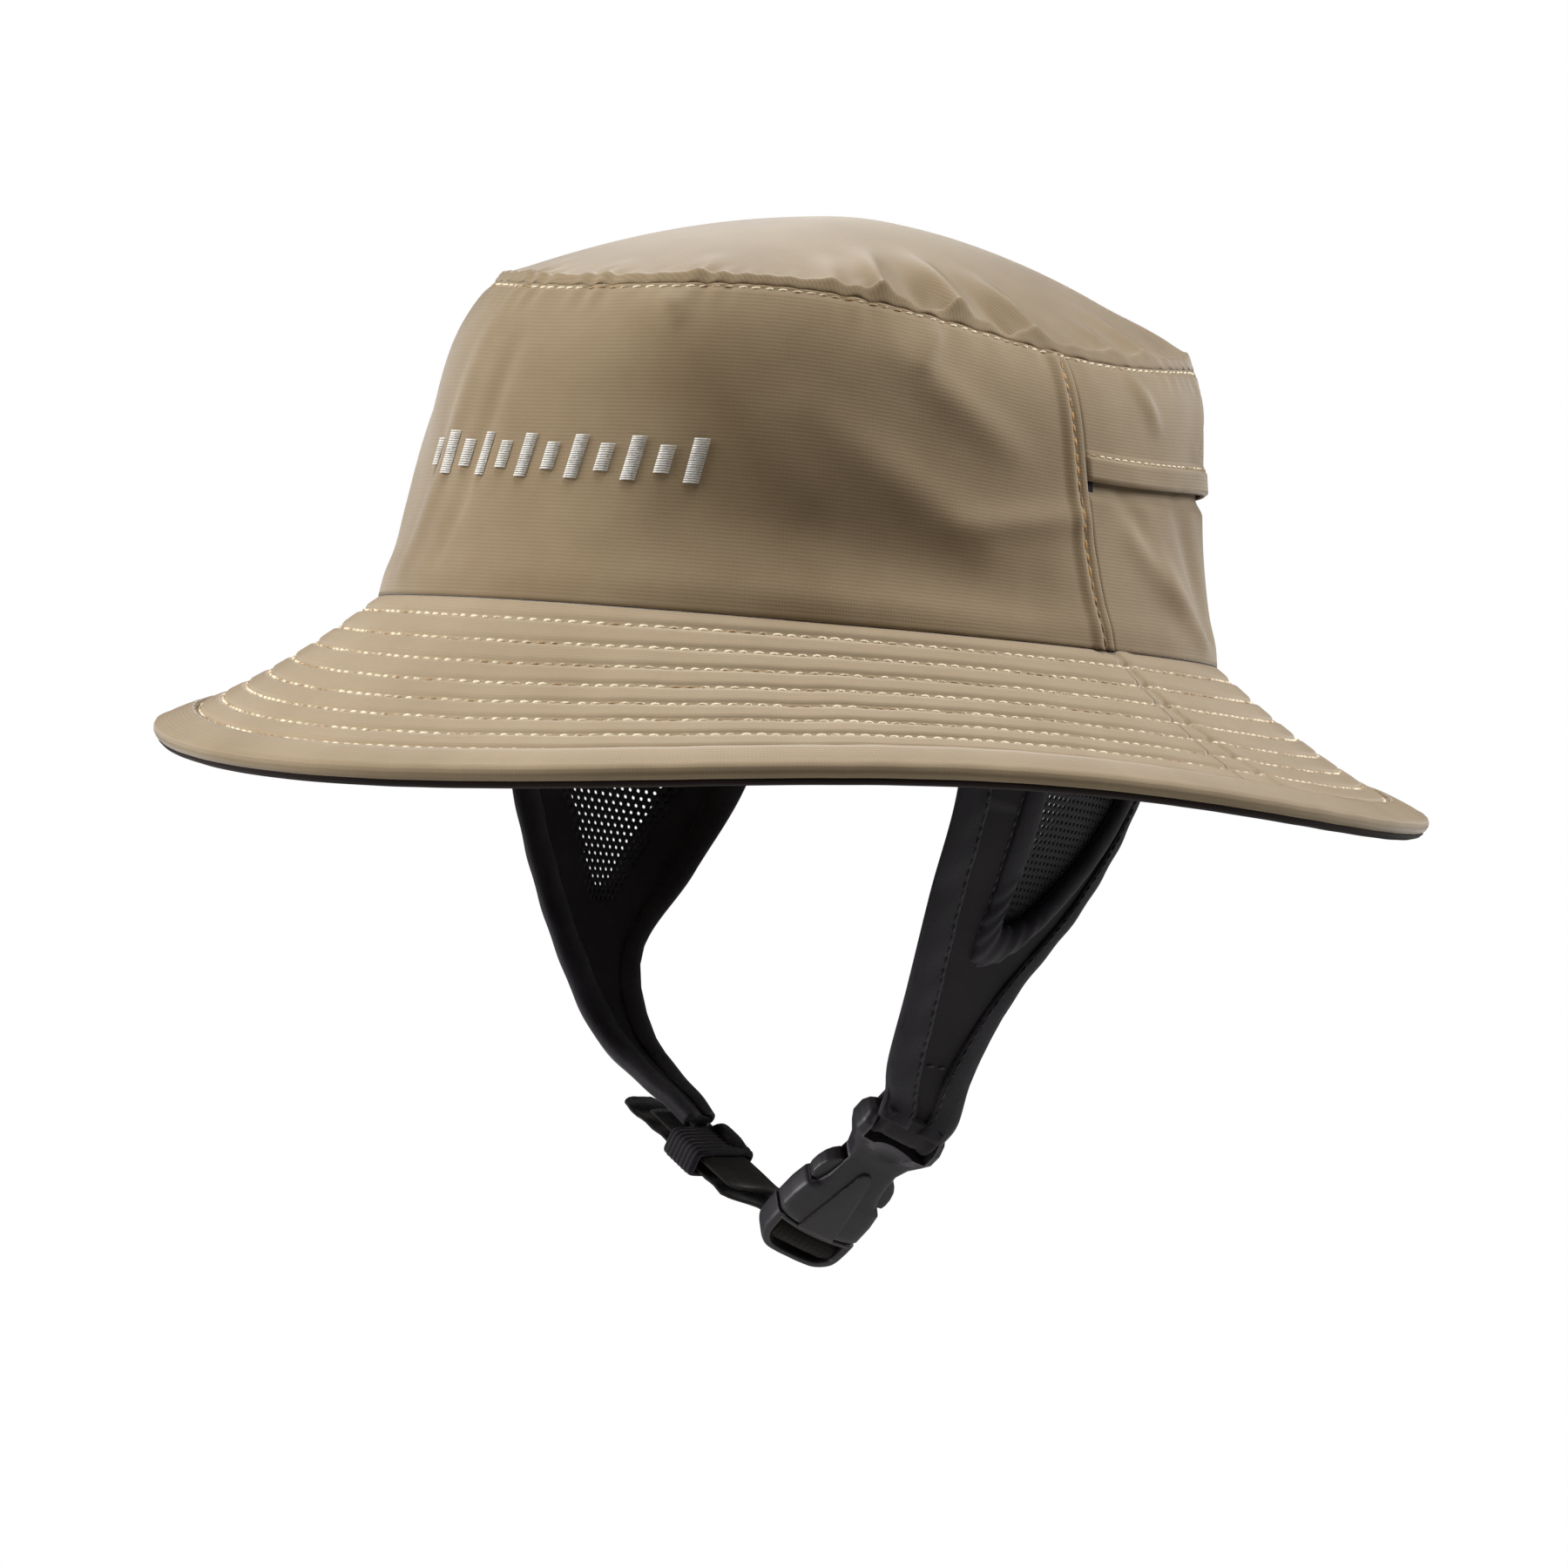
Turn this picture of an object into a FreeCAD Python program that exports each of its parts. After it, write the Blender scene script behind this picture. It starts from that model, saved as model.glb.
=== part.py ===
"""Surf bucket hat with ear flaps and a buckled chin strap: one STEP file per sewn or moulded piece.

Millimetres.  The wearer looks along -Y, +X is the wearer's left, +Z is up.  The origin is the
centre of the head opening, in the plane where the crown meets the brim.
"""
import FreeCAD, Part

import math
import os

from FreeCAD import Vector

# ---- driving dimensions: crown ----
CROWN_HALF_WIDTH = 86.5        # outside of the crown at its base, across the head
CROWN_HALF_LENGTH = 105.0      # the same, front to back
TIP_HALF_WIDTH = 67.2          # the seam round the tip, across the head
TIP_HALF_LENGTH = 94.6
TIP_SETBACK = 8.3              # the tip's centre lies this far behind the opening's centre
CROWN_HEIGHT = 67.3            # mean height of the seam round the tip
SEAM_TILT = 2.0                # front of that seam higher than the mean, back lower
SEAM_SADDLE = 1.5              # front and back higher, sides lower
SEAM_CORNERS = 2.0             # four corners higher than the mean
CROWN_WAIST = 3.6              # the wall draws in by this much at half height
SHOULDER_SHARE = 0.6           # share of the wall's lean that is taken in the rounded shoulder
SHOULDER_POWER = 6
TIP_DOME = 26.5                # the dome stands this far above the seam round it
TIP_DOME_POWER = 1.72
TIP_APEX_SETBACK = 3.2

# ---- driving dimensions: brim ----
BRIM_REACH = 46.5              # horizontal reach of the brim from the crown
BRIM_REACH_WAVE = 2.8
BRIM_DROP = 29.5               # mean height that the edge hangs below the opening
BRIM_DROP_TILT = 4.0           # front lower than the mean, back higher
BRIM_DROP_WAVE = 3.9
BRIM_CURL = 0.35               # how much steeper the brim starts than it ends

# ---- driving dimensions: cloth and foam ----
SHELL_CLOTH = 0.8
BRIM_FOAM = 2.2
BINDING_CLOTH = 0.9
BINDING_WIDTH = 9.0
SWEATBAND_HEIGHT = 32.0
SWEATBAND_THICKNESS = 2.0
SWEATBAND_LIFT = 1.0           # its lower edge above the opening
SIDE_TAPE_LIFT = 2.0           # the side tapes start this far above the sweatband
TAPE_THICKNESS = 0.5
TAPE_WIDTH = 10.0
TAPE_TOP = 0.985               # top edge of the tape under the tip, as a share of the wall
INSIDE_TOP = 0.88              # top ends of the side tapes and of the vent's mesh, the same share
END_GAP = 0.01                 # radians kept free between the two ends of a tape
BAND_END_GAP = 0.004           # the same between the two ends of the sweatband
BAND_TUCK_TURN = 0.16          # it follows the back panel's tuck from this far before the seam
MESH_SIDE_INSET = 0.05         # radians between the vent's mesh and the side seams
MESH_THICKNESS = 0.5
PLY_GAP = 0.1                  # between two layers sewn to each other
FLAP_PLY_GAP = 0.5             # the same on the softer ear flaps

# ---- driving dimensions: back vent ----
VENT_EDGE = 0.57               # free edge of the vent flap, as a share of the wall's height
VENT_HEM = 0.66                # stitching at the top of its hem
VENT_UNDERLAP = 0.74           # top edge of the panel behind it
VENT_MESH_LAP = 0.03           # the mesh starts this share above the free edge
VENT_TUCK = 1.7                # that panel is tucked in by this much behind the flap

# ---- driving dimensions: front motif ----
MOTIF_WIDTH = 78.0
MOTIF_HEIGHT = 9.0
MOTIF_BARS = 12
MOTIF_SHORT_SHARE = 0.62       # height of every other bar, as a share of the tall ones
MOTIF_BAR_WIDTH = 3.6
MOTIF_RELIEF = 0.8
MOTIF_LEVEL = 0.45             # share of the wall's height
MOTIF_CENTRE_DEG = 3.5         # its middle lies a little to the wearer's left of the front

# ---- driving dimensions: ear flaps ----
FLAP_THICKNESS = 2.2
FLAP_TOP = 6.0                 # the flaps are sewn to the sweatband this far up inside the crown
FLAP_TOP_INSET = 9.2           # from the crown's outside to the middle of the flap
FLAP_FRONT_Y = -31.0           # the sewn edge runs from here
FLAP_REAR_Y = 62.0             # to here
FLAP_BEND_RADIUS = 111.0       # the flap is bowed round the head
FLAP_BINDING_WIDTH = 7.5
FLAP_BINDING_THICKNESS = 0.8
WINDOW_MARGIN = 5.0            # width of the binding round the mesh window
FLAP_ROWS = 11                 # stations down each flap
MESH_LAP = 3.0                 # the mesh is sewn in behind the flap by this much
WINDOW_BINDING_THICKNESS = 1.0

# ---- driving dimensions: chin strap and buckle ----
BUCKLE_MOUTH = Vector(19.0, -2.0, -130.0)   # centre of the joint between socket and plug
BUCKLE_SLOPE_DEG = 45.0        # the buckle climbs towards the wearer's left
BUCKLE_ROLL_DEG = 30.0         # its outer face turns towards the front
SOCKET_LENGTH = 35.0
SOCKET_HALF_WIDTH = 10.7
SOCKET_HALF_THICKNESS = 4.2
SOCKET_WALL_END = 10.0         # the closed part of the socket, before its side windows
SOCKET_WALL_TAPER = 1.0        # that part narrows by this much on each side
SOCKET_WINDOW_END = 20.0
SOCKET_WAIST_HALF_WIDTH = 6.6
SOCKET_SHOULDER = (26.0, 8.4)  # where the waist widens towards the slot: x, half width
SOCKET_FLARE_START = 29.0
SOCKET_TAPER = [(14.0, 3.8), (22.0, 3.0), (27.0, 2.6)]   # x, half thickness past the mouth
SOCKET_NOSE = 2.0              # chamfer on the corners of its end
SOCKET_END_HALF_THICKNESS = 1.2
MATING_GAP = 0.15              # half the gap between socket and plug
CAVITY_HALF_WIDTH = 8.2
CAVITY_HALF_HEIGHT = 2.4
SLOT_HALF_WIDTH = 8.5
SLOT_START = 27.6
SLOT_END = 30.8
END_BAR_HALF_THICKNESS = 1.7
PLUG_LENGTH = 11.5
PLUG_RAIL = 2.2
PLUG_CROSSBAR = 1.8
PLUG_END_RAIL = 1.8
PLUG_CORNER = [(0.0, 5.0), (1.5, 2.0), (5.0, 0.3)]   # from its end, and in from its full width
ROOT = 0.5                     # bar and guide run this far into the frame
PLUG_BAR_X = -5.2              # adjuster bar
PLUG_BAR_RADIUS = 1.1
PRONG_HALF_HEIGHT = 2.0
PRONG_LENGTH = 17.0
PRONG_ARM_INNER = 5.5
PRONG_ARM_OUTER = 7.2
PRONG_HEAD_OUTER = 10.0
PRONG_CLEARANCE = 0.6          # between its catch and the window's edge
PRONG_START = 0.35
PRONG_TIP_OUTER = 7.4
PRONG_HEAD_FLAT = 2.4
GUIDE_HALF_WIDTH = 1.1
GUIDE_LENGTH = 13.0
WEBBING_WIDTH = 16.0
WEBBING_THICKNESS = 1.2
WEBBING_PLY_OFFSET = 1.3       # each ply lies this far from the strap's middle
BAR_CLEARANCE = 0.3            # between the webbing and the adjuster bar
BRIDGE_STATIONS = 5            # stations where the webbing turns from the strap into the buckle
KEEPER_LENGTH = 10.0
KEEPER_WALL = 1.4
KEEPER_CORNER = 1.2
KEEPER_CLEARANCE = 0.45
LEFT_END_X = 38.0              # the left flap ends here along the buckle's axis
LEFT_END_HALF_WIDTH = 9.6
LOOP_END = 40.0                # the sewn loop of the left strap ends here along the buckle's axis
STRAP_SLOPE_DEG = 30.0         # the doubled webbing falls towards the buckle
STRAP_LAP = 2.5                # the right flap's end is sewn over the webbing by this much
STRAP_LAP_GAP = 1.9            # and its middle layer lies this far above it
STRAP_END_HALF_WIDTH = 5.5
STRAP_RUN_START = -14.0        # measured along the webbing from the middle of the keeper
STRAP_RUN_END = 14.0
KEEPER_CENTRE = Vector(-15.0, -1.0, -118.9)
TAIL_REACH = 24.0              # the free end reaches this far past the middle of the keeper

FRONT, BACK = 0.0, math.pi
HALF_TURN = math.pi
SEAM_GAP = 0.0015              # radians kept free between two panels that meet at a side seam

# ---- flap edges: share of the way down, then the shift from the straight line in x and y ----
LEFT_FRONT_EDGE = [(0.355, 7.9, -3.8), (0.579, 6.6, -5.1), (0.785, 4.6, -4.7), (0.944, 1.6, -2.9)]
LEFT_REAR_EDGE = [(0.327, 1.8, 8.2), (0.540, 5.9, 1.0), (0.743, 5.8, -8.7), (0.903, 2.6, -5.9)]
RIGHT_FRONT_EDGE = [(0.320, -14.0, 5.0), (0.550, -15.0, -0.5), (0.730, -14.5, -3.0),
                    (0.880, -13.5, -1.5)]
RIGHT_REAR_EDGE = [(0.320, -12.0, 12.0), (0.550, -16.5, 2.0), (0.730, -18.0, -10.0),
                   (0.880, -15.0, -4.0)]

# ---- outline of a mesh window, y and z, clockwise from its lowest point ----
WINDOW_OUTLINE = [(6, -66), (0, -52), (-1, -34), (5, -17), (20, -13), (32, -19), (32, -36),
                  (24, -53), (14, -65)]


# ---------------------------------------------------------------- small helpers
def smooth_step(start, end, value):
    """0 below start, 1 above end, smooth between."""
    share = min(1.0, max(0.0, (value - start) / (end - start)))
    return share * share * (3.0 - 2.0 * share)


def spread(start, end, count):
    """count values from start to end, both included."""
    return [start + (end - start) * i / (count - 1) for i in range(count)]


def sheet_solid(outer, inner):
    """Closed solid between two grids of points, each a list of rows."""
    skins = []
    for grid in (outer, inner):
        surface = Part.BSplineSurface()
        surface.interpolate(grid)
        skins.append(surface)
    edges = []
    for surface in skins:
        u_low, u_high, v_low, v_high = surface.bounds()
        edges.append([surface.uIso(u_low).toShape(), surface.uIso(u_high).toShape(),
                      surface.vIso(v_low).toShape(), surface.vIso(v_high).toShape()])
    faces = [surface.toShape() for surface in skins]
    faces += [Part.makeRuledSurface(first, second) for first, second in zip(*edges)]
    solid = Part.makeSolid(Part.makeShell(faces))
    if solid.Volume < 0:
        solid.reverse()
    return solid


def sheet(place, rows, columns, low, high):
    """Solid of a curved sheet; place(row, column, depth) is a point, low and high its two depths."""
    return sheet_solid([[place(r, c, low) for c in columns] for r in rows],
                       [[place(r, c, high) for c in columns] for r in rows])


def prism(outline, low, high):
    """Extrusion along local z of a closed polygon of x, y points."""
    wire = Part.makePolygon([Vector(x, y, low) for x, y in outline + outline[:1]])
    return Part.Face(wire).extrude(Vector(0, 0, high - low))


def box(x_low, x_high, y_low, y_high, z_low, z_high):
    """Axis-aligned box by its limits."""
    return Part.makeBox(x_high - x_low, y_high - y_low, z_high - z_low,
                        Vector(x_low, y_low, z_low))


def save(name, shape):
    """Write one node and report its size."""
    shape.exportStep(os.path.join("parts", name + ".step"))
    limits = shape.BoundBox
    print("%-22s solids %d  volume %9.1f  valid %s  z %7.1f..%6.1f"
          % (name, len(shape.Solids), shape.Volume, shape.isValid(), limits.ZMin, limits.ZMax))


# ---------------------------------------------------------------- crown
def outward(theta):
    """Unit normal of the crown's base oval; theta is 0 at the front, a quarter turn at the left."""
    normal = Vector(math.sin(theta) * CROWN_HALF_LENGTH, -math.cos(theta) * CROWN_HALF_WIDTH, 0)
    return normal.normalize()


def seam_height(theta):
    """Height of the seam round the tip."""
    return (CROWN_HEIGHT + SEAM_TILT * math.cos(theta) + SEAM_SADDLE * math.cos(2 * theta)
            - SEAM_CORNERS * math.cos(4 * theta))


def crown_wall(theta, share, inset=0.0):
    """Point of the crown's wall; share is 0 at its base and 1 at the seam round the tip."""
    base = Vector(CROWN_HALF_WIDTH * math.sin(theta), -CROWN_HALF_LENGTH * math.cos(theta), 0)
    top = Vector(TIP_HALF_WIDTH * math.sin(theta), TIP_SETBACK - TIP_HALF_LENGTH * math.cos(theta), 0)
    lean = (1 - SHOULDER_SHARE) * share + SHOULDER_SHARE * share ** SHOULDER_POWER
    point = base + (top - base) * lean
    point -= outward(theta) * (CROWN_WAIST * math.sin(math.pi * share) + inset)
    point.z = share * seam_height(theta)
    return point


def wall_band(theta_start, theta_end, share_low, share_high, inset_low, inset_high, columns=9):
    """Strip of the crown's wall between two shares of its height and two depths."""
    turns = spread(theta_start, theta_end, max(5, int(abs(theta_end - theta_start) / 0.19) + 1))
    return sheet(crown_wall, turns, spread(share_low, share_high, columns), inset_low, inset_high)


def tip_point(a, b, depth):
    """Point of the domed tip; a and b run from -1 to 1 over the square that maps to its disc."""
    x = a * math.sqrt(1 - b * b / 2)
    y = b * math.sqrt(1 - a * a / 2)
    radius = min(1.0, math.hypot(x, y))
    theta = math.atan2(x, -y)
    rim_z = seam_height(theta) if radius > 1e-9 else CROWN_HEIGHT
    rim = Vector(TIP_HALF_WIDTH * math.sin(theta), TIP_SETBACK - TIP_HALF_LENGTH * math.cos(theta), 0)
    centre = Vector(0, TIP_SETBACK + TIP_APEX_SETBACK, 0)
    point = centre + (rim - centre) * radius
    ease = radius ** 1.5
    point.z = (rim_z * ease + CROWN_HEIGHT * (1 - ease)
               + TIP_DOME * (1 - radius ** TIP_DOME_POWER) + SHELL_CLOTH + PLY_GAP - depth)
    return point


def make_crown():
    """Tip, wall panels, back vent and inside finishing of the crown."""
    left, right = HALF_TURN / 2, -HALF_TURN / 2
    square = spread(-1.0, 1.0, 13)
    save("crown_tip", sheet(tip_point, square, square, 0.0, SHELL_CLOTH))
    save("crown_front_panel",
         wall_band(right + SEAM_GAP, left - SEAM_GAP, 0.0, 1.0, 0.0, SHELL_CLOTH, 13))

    def tuck(share):
        return VENT_TUCK * smooth_step(VENT_EDGE - 0.09, VENT_EDGE - 0.01, share)

    def tucked_wall(theta, share, inset):
        return crown_wall(theta, share, inset + tuck(share))

    def band_wall(theta, share, inset):
        turn = abs(math.remainder(theta, 2 * HALF_TURN))
        behind = smooth_step(left - BAND_TUCK_TURN, left - SEAM_GAP, turn)
        return crown_wall(theta, share, inset + behind * tuck(share))

    turns = spread(left + SEAM_GAP, left + HALF_TURN - SEAM_GAP, 17)
    save("crown_back_panel", sheet(tucked_wall, turns, spread(0.0, VENT_UNDERLAP, 19),
                                   0.0, SHELL_CLOTH))

    def hemmed_wall(theta, share, depth):
        hem = SHELL_CLOTH * (1 - smooth_step(VENT_HEM - 0.01, VENT_HEM + 0.02, share))
        return crown_wall(theta, share, SHELL_CLOTH if depth else -hem)

    save("back_vent_flap", sheet(hemmed_wall, turns, spread(VENT_EDGE, 1.0, 17), 0.0, 1.0))
    mesh_inset = SHELL_CLOTH + VENT_TUCK + PLY_GAP
    save("back_vent_mesh", wall_band(left + MESH_SIDE_INSET, left + HALF_TURN - MESH_SIDE_INSET,
                                     VENT_EDGE + VENT_MESH_LAP, INSIDE_TOP,
                                     mesh_inset, mesh_inset + MESH_THICKNESS))
    tape = SHELL_CLOTH + PLY_GAP
    tape_share = TAPE_WIDTH / CROWN_HEIGHT
    save("crown_seam_tape", wall_band(BACK + END_GAP, BACK + 2 * HALF_TURN - END_GAP,
                                      TAPE_TOP - tape_share / 2, TAPE_TOP, tape,
                                      tape + TAPE_THICKNESS, 5))
    band_share = (SWEATBAND_HEIGHT + SIDE_TAPE_LIFT) / CROWN_HEIGHT
    tape_turn = TAPE_WIDTH / CROWN_HALF_LENGTH
    strips = [wall_band(side - lean * tape_turn, side - lean * END_GAP, band_share, INSIDE_TOP,
                        tape, tape + TAPE_THICKNESS, 5)
              for side, lean in ((left, 1), (right, -1))]
    save("side_seam_tapes", Part.makeCompound(strips))
    band_turns = spread(BACK + BAND_END_GAP, BACK + 2 * HALF_TURN - BAND_END_GAP, 41)
    band_shares = spread(SWEATBAND_LIFT / CROWN_HEIGHT, SWEATBAND_HEIGHT / CROWN_HEIGHT, 11)
    save("sweatband", sheet(band_wall, band_turns, band_shares, tape,
                            tape + SWEATBAND_THICKNESS))


def make_motif():
    """Raised bars of satin stitch across the front."""
    middle = math.radians(MOTIF_CENTRE_DEG)
    turn_per_mm = 1.0 / (CROWN_HALF_WIDTH - CROWN_WAIST)
    half_share = MOTIF_HEIGHT / 2 / seam_height(FRONT)
    bars = []
    for i, offset in enumerate(spread(-0.5, 0.5, MOTIF_BARS)):
        centre = middle + offset * (MOTIF_WIDTH - MOTIF_BAR_WIDTH) * turn_per_mm
        half_turn = MOTIF_BAR_WIDTH / 2 * turn_per_mm
        tall = half_share * (1.0 if i % 2 else MOTIF_SHORT_SHARE)
        bars.append(wall_band(centre - half_turn, centre + half_turn, MOTIF_LEVEL - tall,
                              MOTIF_LEVEL + tall, -PLY_GAP / 2, -MOTIF_RELIEF, 5))
    save("front_motif", Part.makeCompound(bars))


# ---------------------------------------------------------------- brim
def brim_reach(theta):
    """Horizontal width of the brim."""
    return BRIM_REACH + BRIM_REACH_WAVE * math.cos(3 * theta)


def brim_drop(theta):
    """Height of the brim's edge below the opening."""
    return BRIM_DROP + BRIM_DROP_TILT * math.cos(theta) + BRIM_DROP_WAVE * math.cos(3 * theta)


def brim_point(theta, share, depth=0.0):
    """Point of the brim; share is 0 at the crown and 1 at the edge, depth is below its top."""
    reach, drop = brim_reach(theta), brim_drop(theta)
    fall = share * (1 + BRIM_CURL) - BRIM_CURL * share * share
    slope = drop * (1 + BRIM_CURL - 2 * BRIM_CURL * share)
    length = math.hypot(reach, slope)
    base = Vector(CROWN_HALF_WIDTH * math.sin(theta), -CROWN_HALF_LENGTH * math.cos(theta), 0)
    point = base + outward(theta) * (reach * share - depth * slope / length)
    point.z = -drop * fall - depth * reach / length
    return point


def brim_layer(theta_start, theta_end, share_low, share_high, depth_low, depth_high):
    """One layer of the brim over part of the ring."""
    turns = spread(theta_start, theta_end, max(9, int(abs(theta_end - theta_start) / 0.16) + 1))
    return sheet(brim_point, turns, spread(share_low, share_high, 7), depth_low, depth_high)


def binding_section(theta):
    """Closed outline of the binding's cross-section: a soft hook round the brim's edge."""
    stack = 2 * SHELL_CLOTH + BRIM_FOAM + 2 * PLY_GAP
    lap = 1 - BINDING_WIDTH / math.hypot(brim_reach(theta), brim_drop(theta))
    cloth = BINDING_CLOTH
    radial = outward(theta)

    def at(share, depth, past=0.0):
        return brim_point(theta, share, depth) + radial * past

    points = [at(lap, -cloth), at((1 + lap) / 2, -cloth), at(1.0, -cloth),
              at(1.0, -cloth * 0.2, 1.5), at(1.0, stack / 2, 2.3), at(1.0, stack + cloth * 0.2, 1.5),
              at(1.0, stack + cloth + PLY_GAP), at(lap, stack + cloth + PLY_GAP),
              at(lap, stack + 2 * PLY_GAP), at(1.0, stack + 2 * PLY_GAP, 0.2),
              at(1.0, -PLY_GAP, 0.2), at((1 + lap) / 2, -PLY_GAP), at(lap, -PLY_GAP)]
    return Part.makePolygon(points + points[:1])


def make_brim():
    """Top cloth, foam, lining and bound edge of the brim."""
    left, right = HALF_TURN / 2, -HALF_TURN / 2
    front = (right + SEAM_GAP, left - SEAM_GAP)
    back = (left + SEAM_GAP, left + HALF_TURN - SEAM_GAP)
    foam_top = SHELL_CLOTH + PLY_GAP
    lining_top = foam_top + BRIM_FOAM + PLY_GAP
    for name, span in (("front", front), ("back", back)):
        save("brim_top_" + name, brim_layer(*span, 0.0, 1.0, 0.0, SHELL_CLOTH))
        save("brim_lining_" + name,
             brim_layer(*span, 0.0, 1.0, lining_top, lining_top + SHELL_CLOTH))
    save("brim_foam", brim_layer(BACK + SEAM_GAP, BACK + 2 * HALF_TURN - SEAM_GAP, 0.01, 0.995,
                                 foam_top, foam_top + BRIM_FOAM))
    join = math.radians(100)
    turns = spread(join + SEAM_GAP, join + 2 * HALF_TURN - SEAM_GAP, 41)
    save("brim_edge_binding", Part.makeLoft([binding_section(t) for t in turns], True, False))


# ---------------------------------------------------------------- ear flaps
def buckle_axes():
    """Along the buckle, across it towards the front, and out of its outer face."""
    slope, roll = math.radians(BUCKLE_SLOPE_DEG), math.radians(BUCKLE_ROLL_DEG)
    along = Vector(math.cos(slope), 0, math.sin(slope))
    downhill = Vector(math.sin(slope), 0, -math.cos(slope))
    across = -(Vector(0, math.cos(roll), 0) + downhill * math.sin(roll))
    return along, across, along.cross(across)


def from_buckle(x, y, z):
    """Point given along, across and out of the buckle."""
    along, across, out = buckle_axes()
    return BUCKLE_MOUTH + along * x + across * y + out * z


def strap_axes():
    """Along the doubled webbing towards the buckle, across it, and out of it on the head's side."""
    slope = math.radians(STRAP_SLOPE_DEG)
    along = Vector(math.cos(slope), 0, -math.sin(slope))
    across = Vector(0, 1, 0)
    return along, across, Vector(math.sin(slope), 0, math.cos(slope))


def from_keeper(x, y, z):
    """Point given along, across and out of the webbing from the middle of the keeper."""
    along, across, out = strap_axes()
    return KEEPER_CENTRE + along * x + across * y + out * z


def flap_top_point(y, side):
    """Where the flap's sewn edge crosses y, inside the sweatband; side is 1 left, -1 right."""
    half_width = CROWN_HALF_WIDTH - FLAP_TOP_INSET
    half_length = CROWN_HALF_LENGTH - FLAP_TOP_INSET
    return Vector(side * half_width * math.sqrt(1 - (y / half_length) ** 2), y, FLAP_TOP)


def edge_points(top, bottom, shifts):
    """Points down one edge of a flap."""
    inner = [top + (bottom - top) * share + Vector(dx, dy, 0) for share, dx, dy in shifts]
    return [top] + inner + [bottom]


def flap_edges(side):
    """Front and rear edges of one flap, from the sweatband down."""
    front_top = flap_top_point(FLAP_FRONT_Y, side)
    rear_top = flap_top_point(FLAP_REAR_Y, side)
    if side > 0:
        front_end = from_buckle(LEFT_END_X, LEFT_END_HALF_WIDTH, 0)
        rear_end = from_buckle(LEFT_END_X, -LEFT_END_HALF_WIDTH, 0)
        shifts = (LEFT_FRONT_EDGE, LEFT_REAR_EDGE)
    else:
        lift = WEBBING_PLY_OFFSET + (WEBBING_THICKNESS + FLAP_THICKNESS) / 2 + STRAP_LAP_GAP
        lapped = STRAP_RUN_START + STRAP_LAP
        front_end = from_keeper(lapped, -STRAP_END_HALF_WIDTH, lift)
        rear_end = from_keeper(lapped, STRAP_END_HALF_WIDTH, lift)
        shifts = (RIGHT_FRONT_EDGE, RIGHT_REAR_EDGE)
    return (edge_points(front_top, front_end, shifts[0]),
            edge_points(rear_top, rear_end, shifts[1]))


class Flap:
    """Curved sheet of one ear flap, addressed by row down its edges and share across."""

    def __init__(self, side):
        self.side = side
        self.front, self.rear = [self.smoothed(points) for points in flap_edges(side)]
        self.rows = list(range(FLAP_ROWS))

    def smoothed(self, points):
        """Evenly spread points of the smooth curve through the given ones."""
        curve = Part.BSplineCurve()
        curve.interpolate(points)
        low, high = curve.FirstParameter, curve.LastParameter
        return [curve.value(parameter) for parameter in spread(low, high, FLAP_ROWS)]

    def middle(self, row, across):
        """Point of the middle surface; across is 0 at the front edge and 1 at the rear."""
        front, rear = self.front[row], self.rear[row]
        width = (rear - front).Length
        bow = width * width / (8 * FLAP_BEND_RADIUS) * 4 * across * (1 - across)
        return front + (rear - front) * across + Vector(self.side * bow, 0, 0)

    def point(self, row, across, depth):
        """Point at a depth out of the middle surface, away from the head when positive."""
        last = self.rows[-1]
        down = self.middle(min(row + 1, last), across) - self.middle(max(row - 1, 0), across)
        over = self.middle(row, min(1.0, across + 0.05)) - self.middle(row, max(0.0, across - 0.05))
        normal = down.cross(over).normalize() * self.side
        return self.middle(row, across) + normal * depth

    def slab(self, across_low, across_high, depth_low, depth_high):
        """Solid of the flap between two shares across and two depths."""
        columns = spread(across_low, across_high, 5)
        return sheet(self.point, self.rows, columns, depth_low, depth_high)

    def edge_strip(self, rear):
        """Binding along one edge, on the outer face."""
        def place(row, across, depth):
            width = (self.rear[row] - self.front[row]).Length
            share = min(0.45, FLAP_BINDING_WIDTH / width) * across
            return self.point(row, 1 - share if rear else share, depth)

        low = FLAP_THICKNESS / 2 + FLAP_PLY_GAP
        return sheet(place, self.rows, spread(0.0, 1.0, 4), low, low + FLAP_BINDING_THICKNESS)


def window_prism(side, grow):
    """Bar along X in the outline of a mesh window, grown by a margin."""
    y_mid = sum(y for y, _ in WINDOW_OUTLINE) / len(WINDOW_OUTLINE)
    z_mid = sum(z for _, z in WINDOW_OUTLINE) / len(WINDOW_OUTLINE)
    points = []
    for y, z in WINDOW_OUTLINE:
        ray = Vector(0, y - y_mid, z - z_mid)
        stretched = ray * (1 + grow / ray.Length)
        points.append(Vector(0, y_mid, z_mid) + stretched)
    curve = Part.BSplineCurve()
    curve.interpolate(Points=points, PeriodicFlag=True)
    face = Part.Face(Part.Wire([curve.toShape()]))
    return face.extrude(Vector(side * (CROWN_HALF_WIDTH + 10), 0, 0))


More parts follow.
